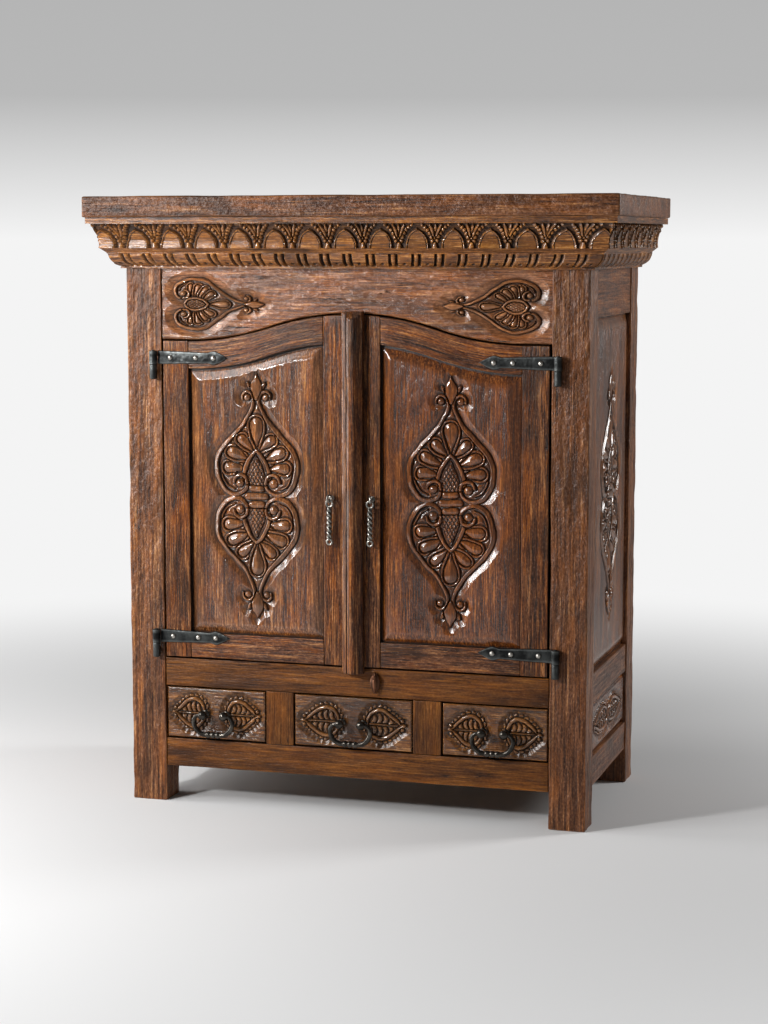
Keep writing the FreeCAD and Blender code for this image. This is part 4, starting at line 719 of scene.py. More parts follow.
def wrought_iron(name, scale, bare, rough, dents):
    """Forged iron between the dark of its scale and the grey of bare metal."""
    material, tree, shader = new_finish(name)
    place = add_node(tree, "ShaderNodeAttribute", attribute_name="grain").outputs["Vector"]
    marks = add_node(tree, "ShaderNodeTexVoronoi", {
        "Vector": place, "Scale": 1 / (HAMMER_MARK * MM), "Smoothness": 0.7}, feature="SMOOTH_F1")
    files, stain = [add_node(tree, "ShaderNodeTexNoise", {
        "Vector": place, "Scale": 1 / (size * MM), "Detail": 3.0}).outputs["Fac"]
        for size in (FILE_MARK, STAIN_MARK)]
    rubbed = add_node(tree, "ShaderNodeAttribute", attribute_name="polish").outputs["Fac"]
    worn = add_node(tree, "ShaderNodeMapRange", {
        "Value": stain, "From Min": 0.38, "From Max": 0.68, "To Max": 0.5}).outputs[0]
    worn = add_node(tree, "ShaderNodeMath", {0: rubbed, 1: worn}, operation="ADD", use_clamp=True).outputs[0]
    skin = add_node(tree, "ShaderNodeMix", {"Factor": worn, 6: linear(scale), 7: linear(bare)},
                    data_type="RGBA").outputs[2]
    level = add_node(tree, "ShaderNodeMath", {0: files, 1: 0.3, 2: marks.outputs["Distance"]},
                     operation="MULTIPLY_ADD").outputs[0]
    bump = add_node(tree, "ShaderNodeBump", {
        "Height": level, "Strength": dents, "Distance": 0.0012}).outputs[0]
    sheen = add_node(tree, "ShaderNodeMapRange", {
        "Value": stain, "From Min": 0.3, "From Max": 0.7,
        "To Min": rough + 0.12, "To Max": rough - 0.06}).outputs[0]
    shader.inputs["Metallic"].default_value = 0.9
    for socket, source in (("Base Color", skin), ("Roughness", sheen), ("Normal", bump)):
        tree.links.new(source, shader.inputs[socket])
    return material


PANEL_TEAK = teak("panel_teak", ("#210f08", "#492713", "#73462a", "#b47d4d"),
                  ("#331709", "#723a12", "#a0581a", "#c88338"), "#060301", 0.24, gloss=0.8)
DARK_PANEL_TEAK = teak("dark_panel_teak", ("#1a0904", "#3f1d09", "#693817", "#a86530"),
                       ("#281004", "#5f2c09", "#8c4811", "#b7712a"), "#060301", 0.24, gloss=0.8)
DOOR_TEAK = teak("door_teak", ("#150904", "#432412", "#6e4429", "#ae794d"),
                 ("#2c1306", "#68330d", "#945016", "#be7932"), "#060301", 0.32)
RAIL_TEAK = teak("rail_teak", ("#22100a", "#4c2a0d", "#6f4219", "#a0682c"),
                 ("#2f1707", "#60330c", "#824a15", "#ad6b24"), "#060301", 0.36,
                 hewn=0.2, dust=0.03, gloss=0.2, calm=0.55)
DRAWER_TEAK = teak("drawer_teak", ("#1a0c05", "#452610", "#6c4321", "#ae7a47"),
                   ("#2d1506", "#64360c", "#8a5017", "#b5742a"), "#050201", 0.26, hewn=0.2, gloss=0.6)
POST_TEAK = teak("post_teak", ("#1f1007", "#502d17", "#7b4d2e", "#c08b5a"),
                 ("#361a09", "#6c3a13", "#965620", "#c4823d"), "#0a0502", 0.34,
                 hewn=1.3, gloss=0.3, fibre=0.7)
FRIEZE_TEAK = teak("frieze_teak", ("#281509", "#643a20", "#98613f", "#dca271"),
                   ("#3a1b09", "#793e14", "#aa6124", "#d98f42"), "#060301", 0.26,
                   hewn=0.5, dust=0.06, gloss=0.5, calm=0.45)
CORNICE_TEAK = teak("cornice_teak", ("#231206", "#573116", "#865329", "#c48b52"),
                    ("#341a08", "#6e3d10", "#985a1c", "#c98634"), "#050201", 0.34, gloss=0.4)
INSIDE_TEAK = [teak("inside_teak_" + "xyz"[axis], ("#4a3322", "#765740", "#927052", "#b0906c"),
                    ("#4e321b", "#7c5632", "#96703f", "#b48a54"), "#20150d", 0.6, amber=0.5, dust=0.05,
                    gloss=0.2, calm=0.5, along=axis, stops=INSIDE_STOPS) for axis in (X, Y, Z)]
STRAP_IRON = wrought_iron("strap_iron", "#1b1c1c", "#5e6160", 0.42, 0.6)
BAIL_IRON = wrought_iron("bail_iron", "#151412", "#68625b", 0.18, 0.12)
PULL_IRON = wrought_iron("pull_iron", "#1b1a18", "#b4b0a8", 0.30, 0.03)
RUSTY_IRON = wrought_iron("rusty_iron", "#2c1c13", "#8a5d44", 0.38, 0.25)


# Sizes of the joinery that several pieces share, and how much painted shade darkens edges that lie in a gap

DRAWER_GAP = 4.0
TONGUE = 10.0
TONGUE_PLAY = 5.0
BACK_RAIL = 90.0
FIELD_RISE = 10.5
BEVEL = 26.0
LOWER_BEVEL = 16.0
ARCH_RADIUS = 735.17
ARCH_RUN = 466.6
GAP_SHADE = 0.9


# Posts, rails and boards of the carcass


def hewn_piece(name, body, finish, along, seed, box=None, **how):
    """Hand-planed board for a solid, as large as the solid unless it is given a box."""
    work = Work()
    hewn_board(work, *(box or span(name)), along, seed, **how)
    work.piece("hewn_" + name, body, finish, [name])


def refinish(name, finish):
    """Gives its finish to a solid that is shown as it is."""
    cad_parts[name].data.materials.clear()
    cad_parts[name].data.materials.append(finish)


def make_carcass():
    posts = ("post_front_right", "post_front_left", "post_back_right", "post_back_left")
    for seed, name in enumerate(posts, start=100):
        hewn_piece(name, "carcass", POST_TEAK, Z, seed, soft=4.5, hew=1.2, cell=6.0, dents=1.5)
    for seed, name in enumerate(("waist_rail", "base_rail"), start=120):
        hewn_piece(name, "carcass", RAIL_TEAK, X, seed, soft=3.5, dents=0.4, dim=GAP_SHADE)
    low, high = span("drawer_muntins")
    wide = span("drawer_right_front")[0][X] - span("drawer_middle_front")[1][X] - 2 * DRAWER_GAP
    work = Work()
    hewn_board(work, low, (low[X] + wide, high[Y], high[Z]), Z, 130, dim=GAP_SHADE)
    hewn_board(work, (high[X] - wide, low[Y], low[Z]), high, Z, 131, dim=GAP_SHADE)
    work.piece("hewn_drawer_muntins", "carcass", RAIL_TEAK, ["drawer_muntins"])
    hewn_piece("top_board", "carcass", POST_TEAK, X, 140, soft=6.0, hew=1.2, cell=14.0)
    levels = [(rail[0][Z], rail[1][Z]) for rail in (span("base_rail"), span("waist_rail"))]
    rails = (("side_rails_right", Y, 150, span("side_panel_right")[1][Z] - TONGUE),
             ("side_rails_left", Y, 160, span("side_panel_left")[1][Z] - TONGUE),
             ("back_rails", X, 170, span("back_rails")[1][Z] - BACK_RAIL))
    for name, along, seed, top in rails:
        low, high = span(name)
        work = Work()
        for turn, (foot, head) in enumerate(levels + [(top, high[Z])]):
            hewn_board(work, (low[X], low[Y], foot), (high[X], high[Y], head), along, seed + turn)
        work.piece("hewn_" + name, "carcass", POST_TEAK, [name])
    for name, along in (("back_panels", Z), ("tv_deck", X), ("drawer_runners", Y)):
        refinish(name, INSIDE_TEAK[along])


def arch(x):
    """Height of the door arch over its springing: a round crown between two hollow flanks."""
    x = np.abs(x)
    half = ARCH_RUN / 2
    rise = 2 * (ARCH_RADIUS - math.sqrt(ARCH_RADIUS ** 2 - half ** 2))
    crown = rise - ARCH_RADIUS + np.sqrt(ARCH_RADIUS ** 2 - np.minimum(x, half) ** 2)
    flank = ARCH_RADIUS - np.sqrt(ARCH_RADIUS ** 2 - np.clip(ARCH_RUN - x, 0, half) ** 2)
    return np.where(x < half, crown, flank)


ARCH_RISE = float(arch(np.array(0.0)))


def graded(start, end, fine_from, fine_to, fine, coarse, edge=BEVEL + 8):
    """Places along a line: close where the carving is and along the two edges, wide between."""
    places = [start]
    while places[-1] < end - 0.5 * fine:
        here = places[-1]
        carved = fine_from <= here <= fine_to
        by_edge = here - start < edge or end - here < edge
        step = fine if carved else (3.0 if by_edge else coarse)
        if here < fine_from < here + step:
            step = max(fine_from - here, 0.4 * fine)
        places.append(here + step)
    places[-1] = end
    return np.array(places)


# Fielded panels. MOTIF sizes are where the double palmette stands on a tall panel and how far it
# spreads; CUT is how deep the ground is scooped beside a carving and how far the scoop reaches.

MOTIF_HEIGHT = 865.0
MOTIF_HALF = 130.0
MOTIF_REACH = 338.0
ARCH_BENDS_FROM = MOTIF_HEIGHT + 330
PALMETTE_CUT = (8.5, 19.0)
PANEL_LEAF_CUT = (6.4, 14.0)
ARRIS_WEAR = 0.08
# width along the panel's edge that is painted dark, as the shade of the frame it runs under
GROOVE_SHADE = 5.0


def fielded(edge, bevel, rise):
    """Height of a panel over its tongue, by distance from the edge of its opening; its arris is worn."""
    share = np.clip(edge / bevel, 0, 2)
    sloped = np.clip(0.5 + 0.5 * (1 - share) / ARRIS_WEAR, 0, 1)
    return rise * (1 - sloped * (1 - share) - ARRIS_WEAR * sloped * (1 - sloped))


def fielded_face(edge, bevel, relief, cut, face, sunk):
    """How far out a carved panel's face stands, its painted shade (with some grime) and its polish; its edge
    is painted dark as shade where it runs under the frame.
    """
    field = edge > bevel
    depth = np.where(field, relief.height(*cut), 0)
    grime, polish = wear_of(depth, relief.dark * field, (relief.gap < 0) * field)
    out = face - FIELD_RISE + fielded(edge, bevel, FIELD_RISE) + depth - sunk
    return out, np.maximum(grime, np.clip(1 - edge / GROOVE_SHADE, 0, 1)), polish


def tall_face(u, v, middle, edge, face, seed, uneven, length):
    """The same for a tall panel with its palmette; the plane left it uneven, in swells of some length."""
    across, up = carver_wander(u - middle, v - MOTIF_HEIGHT, seed)
    relief = palmette(np.abs(across), np.abs(up))
    out, grime, polish = fielded_face(edge, BEVEL, relief, PALMETTE_CUT, face, 1.4)
    out = out + uneven * swell(u, v, (30, length), seed + 5) * np.clip((edge - BEVEL) / 15, 0, 1)
    bevel_polish = 0.5 * np.clip(np.minimum(edge, BEVEL + 14 - edge) / 8.0, 0, 1)
    return out, grime, np.maximum(polish, bevel_polish)


def carved_piece(name, body, finish, *slab):
    """Carved slab for a solid."""
    work = Work()
    carved_slab(work, *slab)
    work.piece("carved_" + name, body, finish, [name])


def make_door_panel(side):
    name = f"door_{side}_panel"
    low, high = span(name)
    inner = min(abs(low[X]), abs(high[X]))
    outer = max(abs(low[X]), abs(high[X]))
    middle = (inner + outer) / 2
    foot, head, bend = low[Z] + TONGUE_PLAY, high[Z] - TONGUE_PLAY, ARCH_BENDS_FROM
    lines_x = graded(inner + TONGUE_PLAY, outer - TONGUE_PLAY, middle - MOTIF_HALF, middle + MOTIF_HALF,
                     1.5, 8.0)
    lines_z = graded(foot, head, MOTIF_HEIGHT - MOTIF_REACH, bend, 1.55, 9.0)
    x, z = np.meshgrid(lines_x, lines_z)
    top = high[Z] - ARCH_RISE + arch(x)
    z = np.where(z > bend, bend + (z - bend) / (head - bend) * (top - TONGUE_PLAY - bend), z)
    edge = from_edge(x, z, inner, outer, low[Z], top) - TONGUE
    seed = 200 if side == "right" else 220
    out, grime, polish = tall_face(x, z, middle, edge, -low[Y], seed, 0.35, 120)
    if side == "left":
        x, z, out, grime, polish = (sheet[:, ::-1] for sheet in (-x, z, out, grime, polish))
    finish = DARK_PANEL_TEAK if side == "right" else PANEL_TEAK
    carved_piece(name, "door_" + side, finish, x, z, out, -high[Y], FRONT, Z, seed, grime, polish)


def side_place(name, side):
    """How a side panel faces, where it starts and ends along its face, and its back and face."""
    low, high = span(name)
    depths = sorted((abs(low[X]), abs(high[X])))
    if side == "right":
        return RIGHT, low[Y], high[Y], *depths
    return LEFT, -high[Y], -low[Y], *depths


def make_side_panel(side):
    name = "side_panel_" + side
    facing, start, end, back, face = side_place(name, side)
    foot, head = (corner[Z] for corner in span(name))
    middle = (start + end) / 2
    lines_u = graded(start + TONGUE_PLAY, end - TONGUE_PLAY, middle - MOTIF_HALF, middle + MOTIF_HALF,
                     1.6, 9.0)
    lines_v = graded(foot + TONGUE_PLAY, head - TONGUE_PLAY, MOTIF_HEIGHT - MOTIF_REACH,
                     MOTIF_HEIGHT + MOTIF_REACH, 1.7, 10.0)
    u, v = np.meshgrid(lines_u, lines_v)
    edge = from_edge(u, v, start, end, foot, head) - TONGUE
    seed = 240 if side == "right" else 260
    out, grime, polish = tall_face(u, v, middle, edge, face, seed, 0.4, 130)
    carved_piece(name, "carcass", PANEL_TEAK, u, v, out, back, facing, Z, seed, grime, polish)


def make_lower_side_panel(side):
    name = "side_lower_panel_" + side
    facing, start, end, back, face = side_place(name, side)
    foot, head = (corner[Z] for corner in span(name))
    u, v = np.meshgrid(np.arange(start + TONGUE_PLAY, end - TONGUE_PLAY + 1, 1.5),
                       np.arange(foot + TONGUE_PLAY, head - TONGUE_PLAY + 1, 1.5))
    edge = from_edge(u, v, start, end, foot, head) - TONGUE
    seed = 280 if side == "right" else 290
    across, up = carver_wander(u - (start + end) / 2, v - (foot + head) / 2, seed)
    relief = leaf_pair(np.abs(across), np.abs(up), 8, 190, 36)
    out, grime, polish = fielded_face(edge, LOWER_BEVEL, relief, PANEL_LEAF_CUT, face, 0.8)
    carved_piece(name, "carcass", PANEL_TEAK, u, v, out, back, facing, Y, seed, grime, polish)


# Frieze over the doors, with a half palmette lying on each side; its top runs up behind the cornice

FRIEZE_MOTIF = (384.0, 1386.0)
FRIEZE_SCALE = (0.78, 0.58)
FRIEZE_CUT = (9.0, 32.0)
FRIEZE_LAP = 6.0
PALMETTE_TALL = 326.0


def make_frieze():
    low, high = span("frieze_rail")
    top = span("cornice_ogee_front")[0][Z] + FRIEZE_LAP
    half = graded(0, high[X], FRIEZE_MOTIF[0] - 175, FRIEZE_MOTIF[0] + 160, 1.6, 5.0, 0)
    x, share = np.meshgrid(np.concatenate([-half[:0:-1], half]), np.linspace(0, 1, 122))
    foot = low[Z] + arch(x)
    z = foot + share * (top - foot)
    seed = 300
    u, v = carver_wander(x, z, seed)
    along = (FRIEZE_MOTIF[0] + 0.5 * PALMETTE_TALL * FRIEZE_SCALE[0] - np.abs(u)) / FRIEZE_SCALE[0]
    across = np.abs(v - FRIEZE_MOTIF[1]) / FRIEZE_SCALE[1]
    relief = palmette(across, along, 2.8, FRIEZE_PETALS, EYE, EYE_BAND, ())
    depth = 0.9 * relief.height(*FRIEZE_CUT)
    worn = np.clip(1 - (z - foot) / 4.0, 0, 1)
    grime, polish = wear_of(depth, relief.dark, relief.gap < 0)
    uneven = 0.5 * swell(x, z, (140, 40), seed + 5) + 0.3 * swell(x, z, (34, 22), seed + 7)
    out = -low[Y] - 2.6 + depth - 2.5 * worn ** 2 + uneven
    work = Work()
    carved_slab(work, x, z, out, -high[Y], FRONT, X, seed, grime, np.maximum(polish, 0.7 * worn))
    hewn_board(work, (low[X], low[Y] + 2, top), high, X, 310)
    work.piece("carved_frieze_rail", "carcass", FRIEZE_TEAK, ["frieze_rail"])


# Cornice: each tier is a moulding run along the edge, mitred at the front corners. PLAIN_RUN is how
# far down a tier's profile the carving begins.

CORNICE_BACK = 90.0
COVE_FILLET = 17.0
OGEE_SLOPE = 12.0
OGEE_LIP = 6.0
PLAIN_RUN = 22.0


def moulding(line, step):
    """Points along a moulding's profile, not more than step apart, with the way into the wood."""
    line = np.array(line, float)
    places = [line[:1]]
    for start, end in zip(line[:-1], line[1:]):
        count = max(1, round(np.linalg.norm(end - start) / step))
        places.append(start + (end - start) * np.linspace(0, 1, count + 1)[1:, None])
    places = np.concatenate(places)
    heading = np.gradient(places, axis=0)
    heading /= np.linalg.norm(heading, axis=1)[:, None]
    return places, np.stack([-heading[:, 1], heading[:, 0]], 1)


def arc_between(start, end, radius, side, count=40):
    """Arc of a radius from start to end, bulging to the given side."""
    start, end = np.array(start, float), np.array(end, float)
    chord = end - start
    length = np.linalg.norm(chord)
    normal = np.array([-chord[1], chord[0]]) / length * side
    centre = (start + end) / 2 - normal * math.sqrt(radius ** 2 - (length / 2) ** 2)
    first = math.atan2(*(start - centre)[::-1])
    last = math.atan2(*(end - centre)[::-1])
    turn = (last - first + math.pi) % (2 * math.pi) - math.pi
    angles = first + turn * np.linspace(0, 1, count)
    return centre + radius * np.stack([np.cos(angles), np.sin(angles)], 1)


def make_cornice():
    low, high = span("top_board")
    half_width, front, rear = high[X], low[Y], high[Y]
    foot, head = (corner[Z] for corner in span("cornice_cove_front"))
    ogee_foot = span("cornice_ogee_front")[0][Z]
    hollow = arc_between((11.0, head - COVE_FILLET), (32.0, foot), 75.0, 1)
    cove = np.concatenate([[(7.0, head), (7.0, head - COVE_FILLET)], hollow])
    bulge = arc_between((50.0, foot - OGEE_SLOPE), (79.0, ogee_foot + OGEE_LIP), 40.0, -1)
    ogee = np.concatenate([[(35.0, foot), (50.0, foot - OGEE_SLOPE)], bulge, [(79.0, ogee_foot)]])
    tiers = (("cove", cove, 20.0, cove_carving, 0.0, 400), ("ogee", ogee, 66.0, ogee_carving, OGEE_LIP, 405))
    for tier, line, setback, carve, lip, first_seed in tiers:
        profile, inward = moulding(line, 1.5)
        run = run_along(profile)
        for turn, side in enumerate(("front", "right", "left")):
            length = 2 * (half_width - setback) if side == "front" else rear - front - setback
            share, row = np.meshgrid(np.linspace(0, 1, round(length / 1.6)), np.arange(len(profile)))
            along = (share - 0.5) * length if side == "front" else (1 - share) * length
            up = run[-1] - run[row] - lip
            seed = first_seed + 10 * turn
            depth, dark = carve(*carver_wander(along, up, seed, 0.8))
            carved = (run[row] > PLAIN_RUN) & ((up > 0) | (tier == "cove"))
            depth = np.where(carved, depth, 0.0)
            grime, polish = wear_of(depth, dark * carved)
            moved = profile[row] - inward[row] * np.minimum(depth, 0)[..., None]
            moved[..., 0] += 0.3 + 0.3 * swell(along, up, (90, 30), seed + 3)
            work = Work()
            cornice_run(work, side, share, moved, half_width, front, rear, seed, grime, polish)
            name = f"cornice_{tier}_{side}"
            work.piece("carved_" + name, "carcass", CORNICE_TEAK, [name])


def cornice_run(work, side, share, moved, half_width, front, rear, seed, grime, polish):
    """Stands a run of moulding on its edge and closes its back and ends."""
    rim, behind, quads = rim_walls(*share.shape)
    setback, level = moved.reshape(-1, 2).T
    depth = np.concatenate([setback, np.full(len(rim), CORNICE_BACK)])
    part = np.concatenate([share.ravel(), share.ravel()[rim]])
    level = np.concatenate([level, level[rim]])
    if side == "front":
        points = np.stack([(2 * part - 1) * (half_width - depth), front + depth, level], 1)
    else:
        sign = 1 if side == "right" else -1
        y = front + depth + part * (rear - front - depth)
        points = np.stack([sign * (half_width - depth), y, level], 1)
    none = np.zeros(len(rim))
    work.add(points, quads, caps=[behind[::-1]], grain=log_place(points, X if side == "front" else Y, seed),
             grime=np.concatenate([grime.ravel(), none]), polish=np.concatenate([polish.ravel(), none]))


# Door frames and the astragal, whose section goes round from its left foot: how far across, how far
# out, painted shade (darkest in its groove and on its right side, away from the main lamps) and polish.
# EAVES is the height of its edges, and it has a hip at its top.

ASTRAGAL_SECTION = [
    (-4, 0, 0, 0), (-4, 17.5, 0, 0), (-2.5, 19.6, 0, 0.8), (4.0, 23.2, 0.3, 0), (9.6, 26.4, 0.2, 0),
    (11.4, 23.0, 1, 0), (13.4, 28.9, 0.1, 0.8), (19.5, 32.6, 0.3, 0), (21.5, 33.6, 0, 0.8), (27, 34, 0, 0),
    (32.5, 33.6, 0.35, 0), (34.5, 32.6, 0.35, 0), (43.5, 26.6, 0.35, 0), (52.5, 20.5, 0.35, 0),
    (54, 18.5, 0.35, 0), (54, 0, 0.35, 0),
]
EAVES = 18.0
RIDGE = 16.0
HIP = 22.0


def make_door_frame(side):
    body = "door_" + side
    seed = 500 if side == "right" else 550
    planed = {"soft": 3.2, "dim": GAP_SHADE}
    hewn_piece(body + "_hinge_stile", body, DOOR_TEAK, Z, seed, **planed)
    hewn_piece(body + "_bottom_rail", body, DOOR_TEAK, X, seed + 5, **planed)
    low, high = span(body + "_top_rail")
    inner = min(abs(low[X]), abs(high[X]))
    lowest = min(arch(np.array([low[X], high[X]])))
    foot = low[Z] - lowest
    tall = high[Z] - arch(np.array(inner)) - low[Z] + lowest
    straight = ((low[X], low[Y], foot), (high[X], high[Y], foot + tall))
    hewn_piece(body + "_top_rail", body, DOOR_TEAK, X, seed + 20, straight,
               lift=lambda x, z: arch(x), **planed)
    low, high = span(body + "_meeting_stile")
    hewn_piece(body + "_meeting_stile", body, DOOR_TEAK, Z, seed + 30,
               lift=lambda x, z: (arch(x) - ARCH_RISE) * (z - low[Z]) / (high[Z] - low[Z]), **planed)


def make_astragal():
    """Cover strip on the meeting edge: two broad bevels, one with a groove, and a hipped top."""
    low, high = span("astragal")
    # the section's third column is painted shade on the astragal
    across, outward, astragal_shade, polish = np.array(ASTRAGAL_SECTION, float).T
    heights = np.concatenate([[low[Z], low[Z] + 1.5], np.linspace(low[Z] + 12, high[Z] - HIP - 2, 110),
                              np.linspace(high[Z] - HIP, high[Z], 12)])
    height, place = np.meshgrid(heights, np.arange(len(across)), indexing="ij")
    out = outward[place]
    hip = np.clip((high[Z] - height) / HIP, 0, 1)
    out = np.where(out > EAVES, np.minimum(out, EAVES + RIDGE * hip), out)
    points = np.stack([low[X] + across[place], high[Y] - out, height], -1)
    points[..., 1] += np.where(height == low[Z], 1.2, 0.0) * (out > 0)
    points = points.reshape(-1, 3)
    wobble = 0.35 * ripple(points, (18, 25, 45), 601)
    points[:, 1] += np.where(points[:, 1] < high[Y] - 1, 0.35 + wobble, 0)
    work = Work()
    work.add(points, grid_quads(*place.shape, closed=True), caps=end_caps(*place.shape),
             grain=log_place(points, Z, 600), grime=astragal_shade[place.ravel()], polish=polish[place.ravel()])
    work.piece("moulded_astragal", "door_right", DOOR_TEAK, ["astragal"], crease=25)


# Drawers

DRAWER_STEP = 1.35
DRAWER_LEAF_CUT = (6.6, 12.0)


def make_drawer(place, seed):
    body = "drawer_" + place
    name = body + "_front"
    low, high = span(name)
    middle, centre = (low[X] + high[X]) / 2, (low[Z] + high[Z]) / 2
    x, z = np.meshgrid(*(np.linspace(low[axis], high[axis], round((high[axis] - low[axis]) / DRAWER_STEP))
                         for axis in (X, Z)))
    u, v = carver_wander(x - middle, z - centre, seed, 0.8)
    half_width = (high[X] - low[X]) / 2
    relief = leaf_pair(np.abs(u), np.abs(v), 0.245 * half_width, 0.645 * half_width, 48)
    depth = relief.height(*DRAWER_LEAF_CUT)
    worn = np.clip(1 - from_edge(x, z, low[X], high[X], low[Z], high[Z]) / 4.5, 0, 1)
    grime, polish = wear_of(depth, relief.dark, relief.gap < 0)
    # the ground in a ring about 24 mm wide round the leaves is painted darker
    grime = np.maximum(grime, 0.4 * np.clip(1 - relief.gap / 24.0, 0, 1) * (relief.gap > 0))
    out = -low[Y] - 1.3 + depth - 2.6 * worn ** 2
    polish = np.maximum(polish, 0.8 * worn)
    carved_piece(name, body, DRAWER_TEAK, x, z, out, -high[Y], FRONT, X, seed, grime, polish)
    refinish(body + "_box", INSIDE_TEAK[Y])


# Iron. The outline of a strap is its half width by distance from the pin, and its section is how far
# its face stands out by share of the half width.

BARREL_RADIUS = 11.0
BARREL_BORE = 5.4
ROUND_SIDES = 28
STRAP_HEIGHT = 37.0
STRAP_OUTLINE = [(11, 18.5), (18, 18.4), (60, 17.4), (120, 15.2), (146, 14.2), (155, 14.0), (162, 16.6),
                 (173, 19.0), (184, 15.6), (196, 9.6), (206, 4.2), (213, 0.5)]
STRAP_SECTION = [(-1, 0), (-0.985, 2.6), (-0.9, 4.4), (-0.6, 4.9), (-0.3, 5.0), (0, 5.0), (0.3, 5.0),
                 (0.6, 4.9), (0.9, 4.4), (0.985, 2.6), (1, 0)]
STRAP_POINT = 6.0
NAIL_PLACES = (47.0, 122.0, 173.0)
NAIL_HEAD = ((0, 7.4, 0.0), (1.2, 7.3, 0.2), (2.8, 6.3, 0.6), (4.4, 4.4, 0.9), (5.5, 1.6, 1.0))
PINTLE_REACH = 20.0


def hinge_places(side):
    """Which way a side lies, the heights of its two hinges, and how far out and deep their pin is."""
    low, high = span(f"door_{side}_straps")
    sign = 1 if side == "right" else -1
    pin_x = (high[X] if sign > 0 else -low[X]) - BARREL_RADIUS
    return sign, (low[Z] + STRAP_HEIGHT / 2, high[Z] - STRAP_HEIGHT / 2), pin_x, low[Y] + BARREL_RADIUS


def flat_bar(work, points, polish):
    """Bar from a sheet of points over its face, closed along its flat back and at both ends."""
    index = np.arange(points.shape[0] * points.shape[1]).reshape(points.shape[:2])
    back = np.stack([index[:-1, 0], index[1:, 0], index[1:, -1], index[:-1, -1]], -1)
    work.add(points.reshape(-1, 3), np.concatenate([grid_quads(*index.shape), back]),
             caps=[index[0], index[-1][::-1]], polish=np.broadcast_to(polish, index.shape).ravel())


def make_straps(side):
    node = f"door_{side}_straps"
    face = span(node)[1][Y]
    sign, levels, pin_x, pin_y = hinge_places(side)
    line = fair_line(STRAP_OUTLINE, 70)
    shares, rise = np.array(STRAP_SECTION, float).T
    along, share = np.meshgrid(line[:, 0], shares, indexing="ij")
    tip = np.clip((STRAP_OUTLINE[-1][0] - along) / STRAP_POINT, 0.1, 1)
    work = Work()
    for seed, level in zip((700, 710), levels):
        points = np.stack([sign * (pin_x - along), face - rise * tip, level + line[:, 1:] * share], -1)
        hammered = 0.3 + 0.3 * ripple(points.reshape(-1, 3), (16, 16, 14), seed).reshape(along.shape)
        points[..., 1] += (points[..., 1] < face - 1) * hammered
        flat_bar(work, points, (np.abs(shares) == 0.9) * 0.7)
        foot, head = level - STRAP_HEIGHT / 2, level + STRAP_HEIGHT / 2
        rings = [(foot, BARREL_BORE), (foot, 10.0), (foot + 1.2, 11.0), (foot + 12, 10.7), (foot + 25, 10.8),
                 (head - 1.2, 11.0), (head, 10.0), (head, BARREL_BORE), (foot, BARREL_BORE)]
        lips = np.isin(np.arange(len(rings)), (2, 5)) * 0.6
        turned(work, rings, (sign * pin_x, pin_y, 0), Z, ROUND_SIDES, polish=np.repeat(lips, ROUND_SIDES))
    work.piece(f"forged_{node}", f"door_{side}", STRAP_IRON, [node])


def make_pintles():
    deep = span("hinge_pintles")[1][Y]
    work = Work()
    for side in ("right", "left"):
        sign, levels, pin_x, pin_y = hinge_places(side)
        for level in levels:
            foot = level - STRAP_HEIGHT / 2 - 0.4
            top = level + STRAP_HEIGHT / 2 + 2
            turned(work, [(foot - 40, 7.5), (foot - 38.5, 9.4), (foot - 36, 10), (foot - PINTLE_REACH, 9.7),
                          (foot - 4, 10), (foot - 1, 9.6), (foot, 8.6), (foot, 5.0), (top - 1.2, 5.0),
                          (top, 3.6)], (sign * pin_x, pin_y, 0), Z, polish=0.25)
            turned(work, [(pin_y, 5.6), (pin_y + PINTLE_REACH, 6.0), (deep - 2, 5.0), (deep, 3.0)],
                   (sign * pin_x, 0, foot - PINTLE_REACH), Y)
    work.piece("forged_hinge_pintles", "carcass", STRAP_IRON, ["hinge_pintles"])


def make_nails(side):
    """Hand-made nails: blunt heads with hammered facets."""
    node = f"door_{side}_nails"
    face = span(node)[1][Y]
    sign, levels, pin_x, _ = hinge_places(side)
    rng = np.random.default_rng(720 if sign > 0 else 730)
    sides = 16
    polish = np.repeat([ring[2] for ring in NAIL_HEAD], sides)
    work = Work()
    for level in levels:
        for along in NAIL_PLACES:
            turn = around(sides) + rng.uniform(0, 1)
            rings = []
            for rise, radius, _ in NAIL_HEAD:
                reach = radius * rng.uniform(0.96, 1.0, sides)
                rings.append(np.stack([sign * (pin_x - along) + reach * np.cos(turn),
                                       np.full(sides, face - rise), level + reach * np.sin(turn)], 1))
            work.add(np.concatenate(rings), grid_quads(len(rings), sides, closed=True),
                     caps=end_caps(len(rings), sides), polish=polish)
    work.piece(f"forged_{node}", f"door_{side}", PULL_IRON, [node])


def ring_path(centre, radius, first, second, count=36):
    """Closed round path in the plane of two directions."""
    turn = around(count)[:, None]
    return np.array(centre) + radius * (np.cos(turn) * np.array(first) + np.sin(turn) * np.array(second))


# Pulls of two strands twisted together, hung from a staple that is turned a little from straight on

EYE_TURN = math.radians(20)
TWIST_LEAD = 27.0
STRAND_AWAY = 3.7
STRAND_RADIUS = 3.9
LINK_RADIUS = 9.0


